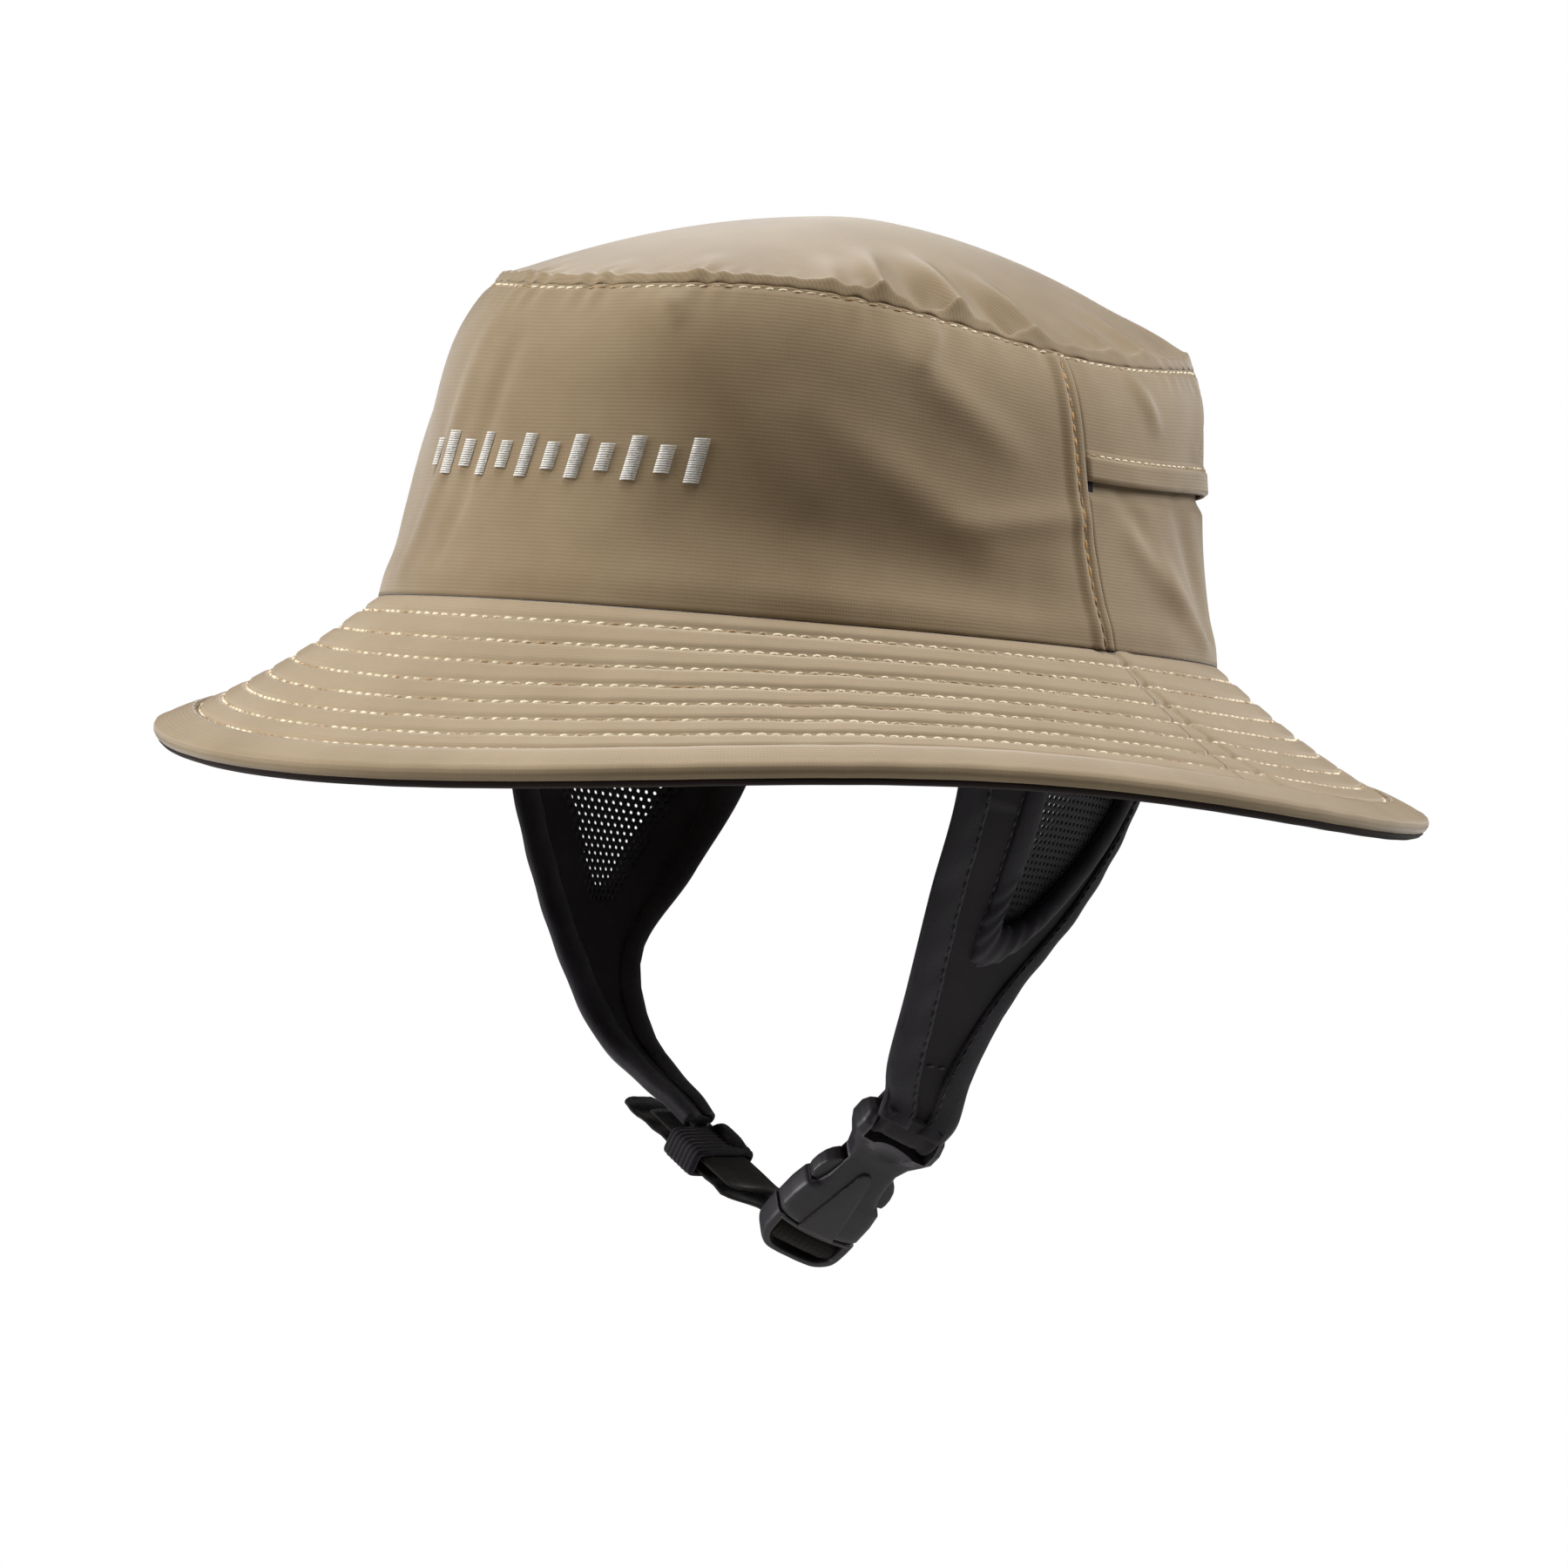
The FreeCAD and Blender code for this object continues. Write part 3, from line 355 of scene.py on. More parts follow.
# ---------------------------------------------------------------- meshes
def mesh_object(name: str, points: Array, faces: Sequence[Sequence[int]], finish: Finish,
                uv: Array | None = None, merge: bool = False) -> bpy.types.Object:
    """Smooth-shaded mesh object.

    Args:
        name: the piece's name.
        points: points in millimetres.
        faces: lists of point numbers.
        finish: what the piece is made of.
        uv: flat coordinates of each point, in metres.
        merge: join points that coincide.

    Returns:
        The new object, linked to the scene.
    """
    mesh = bpy.data.meshes.new(name)
    mesh.from_pydata((points * MM).tolist(), [], [list(f) for f in faces])
    if uv is not None:
        layer = mesh.uv_layers.new(name="flat")
        corner = np.zeros(len(mesh.loops), dtype=np.int32)
        mesh.loops.foreach_get("vertex_index", corner)
        layer.data.foreach_set("uv", uv[corner].astype(np.float32).ravel())
    work = bmesh.new()
    work.from_mesh(mesh)
    if merge:
        bmesh.ops.remove_doubles(work, verts=work.verts, dist=1e-6)
    bmesh.ops.recalc_face_normals(work, faces=work.faces)
    work.to_mesh(mesh)
    work.free()
    mesh.shade_smooth()
    mesh.materials.append(finish.material())
    piece = bpy.data.objects.new(name, mesh)
    bpy.context.scene.collection.objects.link(piece)
    return piece


def grid_numbers(rows: int, columns: int, start: int = 0) -> Array:
    """Point numbers of a grid's four-cornered faces."""
    base = start + np.arange(rows - 1)[:, None] * columns + np.arange(columns - 1)[None, :]
    return np.stack([base, base + 1, base + columns + 1, base + columns], -1).reshape(-1, 4)


def sheet_object(name: str, place: Place, rows: Array, columns: Array, depths: tuple[float, float],
                 finish: Finish, unit: tuple[float, float]) -> bpy.types.Object:
    """Closed sheet between two depths of a curved surface.

    Args:
        name: the piece's name.
        place: gives points for arrays of row and column values at a depth.
        rows: values along the first way.
        columns: values along the second way.
        depths: depth of the outer and of the inner face, in millimetres.
        finish: what the sheet is made of.
        unit: millimetres of cloth for one unit of row and of column value.

    Returns:
        The sheet's object.
    """
    r, c = np.meshgrid(rows, columns, indexing="ij")
    skins = [place(r, c, d).reshape(-1, 3) for d in depths]
    count = r.size
    faces = [grid_numbers(len(rows), len(columns)),
             grid_numbers(len(rows), len(columns), count)[:, ::-1]]
    ring = np.concatenate([np.arange(len(columns)),
                           np.arange(1, len(rows)) * len(columns) + len(columns) - 1,
                           (len(rows) - 1) * len(columns) + np.arange(len(columns) - 2, -1, -1),
                           np.arange(len(rows) - 2, 0, -1) * len(columns)])
    after = np.roll(ring, -1)
    faces.append(np.stack([ring, after, after + count, ring + count], -1))
    uv = np.stack([r.ravel() * unit[0], c.ravel() * unit[1]], -1) * MM
    return mesh_object(name, np.concatenate(skins), np.concatenate(faces), finish,
                       np.concatenate([uv, uv]), merge=True)


def swept_object(name: str, sections: Array, finish: Finish, closed: bool,
                 caps: bool = True) -> bpy.types.Object:
    """Tube through closed cross-sections.

    Args:
        name: the piece's name.
        sections: array of sections, points and x y z, in millimetres.
        finish: what the tube is made of.
        closed: whether the last section joins the first.
        caps: whether the two ends of an open tube are filled.

    Returns:
        The tube's object.
    """
    count, sides = sections.shape[:2]
    path = np.concatenate([sections, sections[:1]]) if closed else sections
    loop = np.concatenate([path, path[:, :1]], axis=1)
    along = np.concatenate([[0], np.cumsum(np.linalg.norm(
        np.diff(loop.mean(axis=1), axis=0), axis=1))])
    girth = np.concatenate([[0], np.cumsum(np.linalg.norm(np.diff(loop[0], axis=0), axis=1))])
    uv = np.stack(np.meshgrid(along, girth, indexing="ij"), -1).reshape(-1, 2) * MM
    faces = [list(f) for f in grid_numbers(len(path), sides + 1)]
    if caps and not closed:
        faces.append(list(range(sides)))
        faces.append([(count - 1) * (sides + 1) + i for i in reversed(range(sides))])
    return mesh_object(name, loop.reshape(-1, 3), faces, finish, uv, merge=True)


def stitches(name: str, path: Array, normals: Array, finish: Finish, length: float = 2.2,
             gap: float = 0.9, radius: float = 0.3, lift: float = 0.05,
             slant: float = 0.0) -> bpy.types.Object:
    """Row of single stitches along a line on a surface.

    Args:
        name: the piece's name.
        path: points of the line, in millimetres.
        normals: the surface's normals there.
        finish: the thread.
        length: length of one stitch.
        gap: bare length between two stitches.
        radius: half the thread's width.
        lift: how far the thread's middle stands off the surface.
        slant: turn of each stitch away from the line, in degrees.

    Returns:
        The row as one object.
    """
    step = np.linalg.norm(np.diff(path, axis=0), axis=1)
    run = np.concatenate([[0], np.cumsum(step)])
    count = max(1, int(run[-1] / (length + gap)))
    pitch = run[-1] / count
    rng = np.random.default_rng(count)
    middle = (np.arange(count) + 0.5) * pitch + rng.uniform(-0.08, 0.08, count) * pitch
    half = length * rng.uniform(0.42, 0.54, count)

    def along_line(values: Array, at: Array) -> Array:
        """Values at distances along the line."""
        return np.stack([np.interp(at, run, values[:, i]) for i in range(3)], -1)

    first, last = along_line(path, middle - half), along_line(path, middle + half)
    up = along_line(normals, middle)
    up /= np.linalg.norm(up, axis=1, keepdims=True)
    centre, way = (first + last) / 2, last - first
    side = np.cross(up, way / np.linalg.norm(way, axis=1, keepdims=True))
    turn = math.tan(math.radians(slant))
    way = way + side * (turn * np.linalg.norm(way, axis=1, keepdims=True))
    angles = np.arange(6) * math.pi / 3
    rings = [(-0.5, 0.35), (-0.38, 0.9), (0.0, 1.05), (0.38, 0.9), (0.5, 0.35)]
    points = []
    for at, share in rings:
        for angle in angles:
            high = lift * (1 - 2.4 * at * at * 2) + radius * share * math.sin(angle)
            wide = radius * share * math.cos(angle)
            points.append(centre + way * at + up * high + side * wide)
    block = np.stack(points, 1)
    size = len(rings) * 6
    quads = []
    for ring in range(len(rings) - 1):
        for i in range(6):
            j = (i + 1) % 6
            quads.append([ring * 6 + i, ring * 6 + j, ring * 6 + 6 + j, ring * 6 + 6 + i])
    faces = [[n * size + q for q in quad] for n in range(count) for quad in quads]
    return mesh_object(name, block.reshape(-1, 3), faces, finish)


def split_at(piece: bpy.types.Object, level: float,
             names: tuple[str, str]) -> list[bpy.types.Object]:
    """Cut a piece at a height into an upper and a lower one, closed where they were cut.

    Args:
        piece: the piece, which is used up.
        level: height of the cut, in metres.
        names: names of the upper and the lower piece.

    Returns:
        The upper and the lower piece.
    """
    parts = []
    piece.name += "_whole"          # leaves its name free for the lower piece
    for name, upper in zip(names, (True, False)):
        mesh = piece.data.copy()
        mesh.name = name
        work = bmesh.new()
        work.from_mesh(mesh)
        everything = work.verts[:] + work.edges[:] + work.faces[:]
        cut = bmesh.ops.bisect_plane(work, geom=everything, dist=1e-7, plane_co=(0, 0, level),
                                     plane_no=(0, 0, 1), clear_inner=upper,
                                     clear_outer=not upper)["geom_cut"]
        rims = [item for item in cut if isinstance(item, bmesh.types.BMEdge)]
        bmesh.ops.holes_fill(work, edges=rims, sides=0)
        work.to_mesh(mesh)
        work.free()
        part = bpy.data.objects.new(name, mesh)
        bpy.context.scene.collection.objects.link(part)
        parts.append(part)
    bpy.data.objects.remove(piece)
    return parts


def join_pieces(name: str, pieces: Sequence[bpy.types.Object]) -> bpy.types.Object:
    """Join several mesh objects into one of the given name."""
    work = bmesh.new()
    materials: list[bpy.types.Material] = []
    for piece in pieces:
        material = piece.data.materials[0]
        if material not in materials:
            materials.append(material)
        before = len(work.faces)
        work.from_mesh(piece.data)
        work.faces.ensure_lookup_table()
        for face in work.faces[before:]:
            face.material_index = materials.index(material)
    mesh = bpy.data.meshes.new(name)
    work.to_mesh(mesh)
    work.free()
    for material in materials:
        mesh.materials.append(material)
    for piece in pieces:
        bpy.data.objects.remove(piece)
    joined = bpy.data.objects.new(name, mesh)
    bpy.context.scene.collection.objects.link(joined)
    return joined


def normals_of(place: Callable[[Array, Array], Array], first: Array, second: Array,
               step: float = 1e-3) -> Array:
    """Unit normals of a surface at pairs of values, first way across second way."""
    a = place(first + step, second) - place(first - step, second)
    b = place(first, second + step) - place(first, second - step)
    cross = np.cross(a, b)
    return cross / np.maximum(np.linalg.norm(cross, axis=-1, keepdims=True), 1e-12)


def bell(value: Array | float, width: float) -> Array:
    """Smooth bump of height 1 at zero."""
    return np.exp(-(np.asarray(value) / width) ** 2)


def ease(low: float, high: float, value: Array | float) -> Array:
    """0 below low, 1 above high, smooth between."""
    share = np.clip((np.asarray(value, float) - low) / (high - low), 0, 1)
    return share * share * (3 - 2 * share)


def ripple(theta: Array, seed: int, low: int, high: int) -> Array:
    """Uneven wave round the hat, about -1 to 1, the same at every run.

    Args:
        theta: turn about the hat, in radians.
        seed: which wave.
        low: fewest waves in a turn.
        high: most waves in a turn.

    Returns:
        The wave's height at each turn.
    """
    rng = np.random.default_rng(seed)
    total = np.zeros_like(np.asarray(theta, float))
    counts = rng.integers(low, high + 1, 9)
    for count in counts:
        total += rng.uniform(0.4, 1.0) * np.sin(count * theta + rng.uniform(0, 2 * math.pi))
    return total / 3.0


# ---------------------------------------------------------------- the hat's shape
@dataclass(frozen=True)
class Fold:
    """Soft crease in the crown's wall, from one point of the flat cloth to another."""

    start: tuple[float, float]     # degrees of turn, share of the wall's height
    end: tuple[float, float]
    height: float                  # millimetres, a valley when negative
    width: float


@dataclass(frozen=True)
class HatShape:
    """Curved surfaces of the crown and brim, in millimetres."""

    half_width: float = 86.5
    half_length: float = 105.0
    tip_half_width: float = 67.2
    tip_half_length: float = 94.6
    tip_setback: float = 8.3
    height: float = 67.3
    tilt: float = 2.0
    saddle: float = 1.5
    corners: float = 2.0
    waist: float = 3.6
    shoulder: float = 0.6
    dome: float = 26.5
    dome_power: float = 1.72
    apex_setback: float = 3.2
    reach: float = 46.5
    reach_wave: float = 2.8
    drop: float = 29.5
    drop_tilt: float = 4.0
    drop_wave: float = 3.9
    curl: float = 0.35
    cloth: float = 0.8
    foam: float = 2.2
    fold_strength: float = 1.6
    folds: tuple[Fold, ...] = (
        Fold((14, 0.98), (44, 0.42), 0.9, 8.0), Fold((30, 0.30), (76, 0.16), -1.5, 9.0),
        Fold((44, 0.62), (70, 0.30), 0.8, 6.0), Fold((56, 0.86), (74, 0.62), 0.9, 5.0),
        Fold((66, 0.34), (86, 0.44), 0.8, 3.5), Fold((-24, 0.10), (-15, 0.86), 0.5, 4.0),
        Fold((-14, 0.12), (-6, 0.80), -0.45, 3.5), Fold((62, 0.97), (60, 0.84), 1.0, 2.6),
        Fold((20, 0.99), (23, 0.90), 0.8, 3.0), Fold((98, 0.40), (116, 0.08), 1.4, 4.5),
        Fold((96, 0.52), (104, 0.30), -0.8, 3.5), Fold((112, 0.50), (124, 0.12), -1.0, 5.0),
        Fold((-60, 0.80), (-40, 0.30), 1.0, 8.0), Fold((-80, 0.50), (-58, 0.14), 0.9, 6.0),
        Fold((150, 0.45), (170, 0.08), 1.0, 6.0), Fold((-120, 0.44), (-140, 0.10), 1.1, 6.0),
        Fold((100, 0.95), (104, 0.80), 0.8, 2.6), Fold((128, 0.93), (120, 0.72), 0.7, 4.0))

    def outward(self, theta: Array) -> Array:
        """Unit normals of the base oval."""
        normal = np.stack([np.sin(theta) * self.half_length, -np.cos(theta) * self.half_width,
                           np.zeros_like(theta)], -1)
        return normal / np.linalg.norm(normal, axis=-1, keepdims=True)

    def oval(self, theta: Array, wide: float, long: float, back: float = 0.0) -> Array:
        """Points of an oval in the plane of the opening."""
        return np.stack([wide * np.sin(theta), back - long * np.cos(theta),
                         np.zeros_like(theta)], -1)

    def seam_height(self, theta: Array) -> Array:
        """Height of the seam round the tip."""
        return (self.height + self.tilt * np.cos(theta) + self.saddle * np.cos(2 * theta)
                - self.corners * np.cos(4 * theta))

    def crease(self, theta: Array, share: Array) -> Array:
        """How far the wall's folds stand out."""
        degrees = (np.degrees(theta) + 180) % 360 - 180
        arc, high = degrees * 1.65, share * self.height
        total = 0.45 * ripple(theta, 3, 2, 7) * np.sin(np.pi * share)
        for fold in self.folds:
            a = np.array([fold.start[0] * 1.65, fold.start[1] * self.height])
            b = np.array([fold.end[0] * 1.65, fold.end[1] * self.height])
            way = b - a
            run = np.clip(((arc - a[0]) * way[0] + (high - a[1]) * way[1]) / (way @ way), 0, 1)
            away = np.hypot(arc - a[0] - run * way[0], high - a[1] - run * way[1])
            total = total + (self.fold_strength * fold.height * bell(away, fold.width)
                             * (0.55 + 0.45 * np.sin(np.pi * run)))
        return total

    def wall(self, theta: Array, share: Array, inset: float | Array = 0.0,
             creased: bool = True) -> Array:
        """Points of the crown's wall.

        Args:
            theta: turn about the hat.
            share: 0 at the base and 1 at the seam round the tip.
            inset: depth behind the cloth's face.
            creased: whether the folds are there.

        Returns:
            Points in millimetres.
        """
        base = self.oval(theta, self.half_width, self.half_length)
        top = self.oval(theta, self.tip_half_width, self.tip_half_length, self.tip_setback)
        lean = (1 - self.shoulder) * share + self.shoulder * share ** 6
        out = -(self.waist * np.sin(np.pi * share) + inset)
        if creased:
            hold = ease(0.0, 0.12, share) * ease(1.0, 0.93, share)
            out = out + self.crease(theta, share) * (0.15 + 0.85 * hold)
            pucker = ripple(theta, 11, 60, 110)
            out = out + 0.38 * pucker * ease(0.88, 0.99, share)
            out = out + 0.6 * bell(share - 0.07, 0.06) * (0.9 + 0.3 * ripple(theta, 5, 5, 18))
        point = (base + (top - base) * lean[..., None]
                 + self.outward(theta) * np.asarray(out)[..., None])
        point[..., 2] = share * self.seam_height(theta)
        return point

    def tip(self, theta: Array, radius: Array, depth: float = 0.0) -> Array:
        """Points of the domed tip; radius is 0 at its apex and 1 at the seam."""
        rim = self.oval(theta, self.tip_half_width, self.tip_half_length, self.tip_setback)
        centre = np.array([0.0, self.tip_setback + self.apex_setback, 0.0])
        point = centre + (rim - centre) * radius[..., None]
        soft = radius ** 1.5
        rise = self.dome * (1 - radius ** self.dome_power)
        point[..., 2] = (self.seam_height(theta) * soft + self.height * (1 - soft) + rise
                         + self.cloth + 0.1 - depth)
        return point

    def brim_size(self, theta: Array) -> tuple[Array, Array]:
        """Horizontal reach and drop of the brim."""
        return (self.reach + self.reach_wave * np.cos(3 * theta),
                self.drop + self.drop_tilt * np.cos(theta) + self.drop_wave * np.cos(3 * theta))

    def brim(self, theta: Array, share: Array, depth: float | Array = 0.0) -> Array:
        """Points of the brim; share is 0 at the crown and 1 at the edge, depth is below its top."""
        reach, drop = self.brim_size(theta)
        fall = share * (1 + self.curl) - self.curl * share * share
        slope = drop * (1 + self.curl - 2 * self.curl * share)
        length = np.hypot(reach, slope)
        out = reach * share - depth * slope / length
        point = (self.oval(theta, self.half_width, self.half_length)
                 + self.outward(theta) * out[..., None])
        point[..., 2] = -drop * fall - depth * reach / length
        return point

    def brim_width(self, theta: Array) -> Array:
        """Width of the brim's cloth from the crown to the edge."""
        return np.hypot(*self.brim_size(theta))


SHAPE = HatShape()


# ---------------------------------------------------------------- crown
@dataclass
class Crown:
    """Tip, front panel, back panel with its vent, and the stitching that joins them."""

    shape: HatShape = SHAPE
    seam_top_deg: float = 85.0     # the side seam leans: here at the top
    seam_base_deg: float = 90.6    # and here at the base
    fold_over: float = 0.9         # the front panel's turned edge stands this far out
    vent_edge: float = 0.57
    vent_hem: float = 5.9          # the hem's stitching lies this far above its edge
    vent_tuck: float = 1.7
    seam_row: float = 0.985        # the stitching under the tip's seam, as a share of the height
    side_row: float = 3.0          # the stitching beside a side seam
    radian: float = 95.0           # length along the wall of one radian of turn
    pleats: tuple[tuple[float, float, float, float], ...] = (
        (46, 1.0, 2.6, 0.74), (54, 2.6, 2.2, 0.58), (61, -2.2, 2.0, 0.64), (67, 3.4, 2.2, 0.52),
        (75, -2.2, 2.0, 0.66), (81, 2.6, 2.0, 0.60), (98, 1.2, 2.2, 0.76), (108, 1.6, 3.0, 0.66),
        (132, 1.4, 3.0, 0.7), (-58, 1.9, 2.6, 0.64), (-70, 2.1, 2.2, 0.62),
        (-84, -1.2, 2.0, 0.72), (-100, 1.4, 2.8, 0.7), (-128, 1.2, 3.0, 0.74),
        (24, 0.7, 3.0, 0.80), (-16, 0.6, 3.0, 0.82), (170, 1.0, 4.0, 0.74),
        (5, 0.5, 2.4, 0.84))       # degrees round the tip, height, width, share where it starts
    pleat_lean: float = 10.0       # degrees that a pleat turns from the seam to the apex
    body: str = "hat"

    def seam_turn(self, share: Array) -> Array:
        """Turn of the side seam at a share of the wall's height."""
        return np.radians(self.seam_base_deg + (self.seam_top_deg - self.seam_base_deg) * share)

    def front_place(self, across: Array, share: Array, inset: float) -> Array:
        """Front panel; across runs from -1 at the right seam to 1 at the left one."""
        theta = across * self.seam_turn(share)
        away = (1 - np.abs(across)) * self.seam_turn(share) * self.radian
        lift = self.fold_over * (1 - ease(4.5, 7.0, away)) * (1 - 0.7 * bell(away - 3.0, 0.7))
        lift = lift * (1 - 0.75 * bell(away, 0.5))
        return self.shape.wall(theta, share, inset - lift + self.seam_relief(share))

    def seam_relief(self, share: Array) -> Array:
        """Depth of the groove under the stitching and of the roll where the wall meets the tip."""
        groove = 0.35 * bell((share - self.seam_row) * self.shape.height, 0.5)
        return groove + 0.9 * ease(0.993, 1.0, share) ** 2

    def back_place(self, across: Array, share: Array, inset: float) -> Array:
        """Back panel below the vent; across runs from 0 at the left seam to 1 at the right one."""
        seam = self.seam_turn(share)
        theta = seam + across * (2 * math.pi - 2 * seam)
        tuck = self.vent_tuck * ease(self.vent_edge - 0.07, self.vent_edge - 0.01, share)
        return self.shape.wall(theta, share, inset + tuck)

    def vent_place(self, across: Array, share: Array, inset: float) -> Array:
        """Vent flap with its rolled hem."""
        seam = self.seam_turn(share)
        theta = seam + across * (2 * math.pi - 2 * seam)
        high = (share - self.vent_edge) * self.shape.height
        hem = 0.9 * (1 - ease(5.6, 7.0, high)) * (1 - 0.75 * bell(high - self.vent_hem, 0.5))
        hem = hem - 0.9 * bell(high, 0.45)
        gape = 0.8 * bell(high, 4.0) * (0.5 + 0.5 * np.cos(2 * np.pi * (across * 3 + 0.1)))
        gape = gape * np.sin(np.pi * across)
        return self.shape.wall(theta, share, inset - hem - gape + self.seam_relief(share))

    def tip_place(self, theta: Array, radius: Array, depth: float) -> Array:
        """Tip with radial pleats near the side seams and puckers along its edge."""
        point = self.shape.tip(theta, radius, depth)
        degrees = (np.degrees(theta) + 180) % 360 - 180
        rise = np.zeros_like(radius)
        bend = self.pleat_lean * (1 - radius)
        for centre, height, width, inner in self.pleats:
            spread = width * (0.8 + 2.2 * (1 - radius))
            rise += height * bell(degrees - centre + bend, spread) * ease(inner, 0.93, radius)
        rise = rise * ease(1.0, 0.975, radius)
        rise += 0.4 * ripple(theta, 11, 60, 110) * ease(0.90, 0.985, radius)
        rise += 1.3 * ripple(theta, 7, 2, 6) * bell(radius - 0.6, 0.3) * ease(1.0, 0.9, radius)
        ridge = 0.6 * bell((1 - radius) * 80 - 1.4, 0.9) - 0.7 * bell((1 - radius) * 80, 0.6)
        point[..., 2] += rise + ridge
        return point

    def band_place(self, theta: Array, share: Array, inset: float) -> Array:
        """Sweatband, which follows the wall's creases from inside."""
        pad = 0.35 * ripple(theta, 41, 20, 50)
        return self.shape.wall(theta, share, inset + pad * (inset > 2))

    def line(self, place: Callable[[Array, Array], Array], first: Array,
             second: Array) -> tuple[Array, Array]:
        """Points and outward normals along a line of a surface."""
        normal = normals_of(place, first, second)
        point = place(first, second)
        middle = np.array([0.0, 8.0, 30.0])
        flip = np.sign(np.sum(normal * (point - middle), -1, keepdims=True))
        return point, normal * flip

    def build(self) -> list[bpy.types.Object]:
        """Make every visible piece of the crown.

        Returns:
            The pieces, each riding on the hat.
        """
        shape = self.shape
        half_girth = 1.62 * shape.half_length
        fine_edge = 1 - np.linspace(1, 0, 26) ** 1.6 * 0.08
        across = np.concatenate([-fine_edge[::-1], np.linspace(-0.92, 0.92, 190)[1:-1], fine_edge])
        shares = np.concatenate([np.linspace(0, 0.94, 74), np.linspace(0.945, 1.0, 16)])
        front = sheet_object("crown_front", self.front_place, across, shares, (0.0, shape.cloth),
                             Finish.CROWN, (half_girth, shape.height))
        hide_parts("crown_front_panel")

        back_span = np.linspace(0.0, 1.0, 200)
        low = np.linspace(0, 0.74, 60)
        back = sheet_object("crown_back", self.back_place, back_span, low, (0.0, shape.cloth),
                            Finish.CROWN, (2 * half_girth, shape.height))
        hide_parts("crown_back_panel")

        high = np.concatenate([np.linspace(self.vent_edge, 0.70, 30), np.linspace(0.71, 1.0, 44)])
        vent = sheet_object("vent_flap", self.vent_place, back_span, high, (0.0, shape.cloth),
                            Finish.CROWN, (2 * half_girth, shape.height))
        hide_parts("back_vent_flap")

        turns = np.linspace(-math.pi, math.pi, 481)
        radii = np.concatenate([np.linspace(0.0, 0.88, 46), np.linspace(0.885, 1.0, 24)])
        tip = sheet_object("tip", self.tip_place, turns, radii, (0.0, shape.cloth),
                           Finish.CROWN, (30.0, 85.0))
        for layer in tip.data.uv_layers:
            corner = np.zeros(len(tip.data.loops), dtype=np.int32)
            tip.data.loops.foreach_get("vertex_index", corner)
            spot = np.zeros(len(tip.data.vertices) * 3, dtype=np.float32)
            tip.data.vertices.foreach_get("co", spot)
            layer.data.foreach_set("uv", spot.reshape(-1, 3)[corner][:, :2].ravel())
        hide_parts("crown_tip")

        band = sheet_object("sweatband_jersey", self.band_place,
                            np.linspace(-math.pi, math.pi, 241), np.linspace(0.02, 0.475, 24),
                            (1.3, 3.2), Finish.SWEATBAND, (self.radian, shape.height))
        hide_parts("sweatband")

        rows = self.stitch_rows()
        pieces = [front, back, vent, tip, band, *rows]
        for piece in pieces:
            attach(piece, self.body)
        return pieces

    def stitch_rows(self) -> list[bpy.types.Object]:
        """Rows of stitching round the tip, down the side seams and along the vent's hem."""
        rows = []
        for name, place, span in (("front", self.front_place, np.linspace(-1, 1, 500)),
                                  ("back", self.vent_place, np.linspace(0, 1, 500))):
            def at(first: Array, second: Array, place: Place = place) -> Array:
                """Points of the cloth's face."""
                return place(first, second, 0.0)
            path, normal = self.line(at, span, np.full_like(span, self.seam_row))
            rows.append(stitches("tip_stitching_" + name, path, normal, Finish.CREAM, 2.0, 0.9,
                                 0.27, 0.1, 8))
        shares = np.linspace(0.0, 0.97, 160)
        for name, side in (("left", 1), ("right", -1)):
            def at(first: Array, second: Array) -> Array:
                """Points of the front panel's face."""
                return self.front_place(first, second, 0.0)
            inner = side * (1 - self.side_row / (self.radian * self.seam_turn(shares)))
            path, normal = self.line(at, inner, shares)
            rows.append(stitches("side_stitching_" + name, path, normal, Finish.GOLD, 2.3, 0.8,
                                 0.3, 0.12))
        span = np.linspace(0.004, 0.996, 500)

        def hem(first: Array, second: Array) -> Array:
            """Points of the vent flap's face."""
            return self.vent_place(first, second, 0.0)
        level = self.vent_edge + self.vent_hem / self.shape.height
        path, normal = self.line(hem, span, np.full_like(span, level))
        rows.append(stitches("hem_stitching", path, normal, Finish.CREAM, 2.0, 1.0, 0.25, 0.1))
        return rows


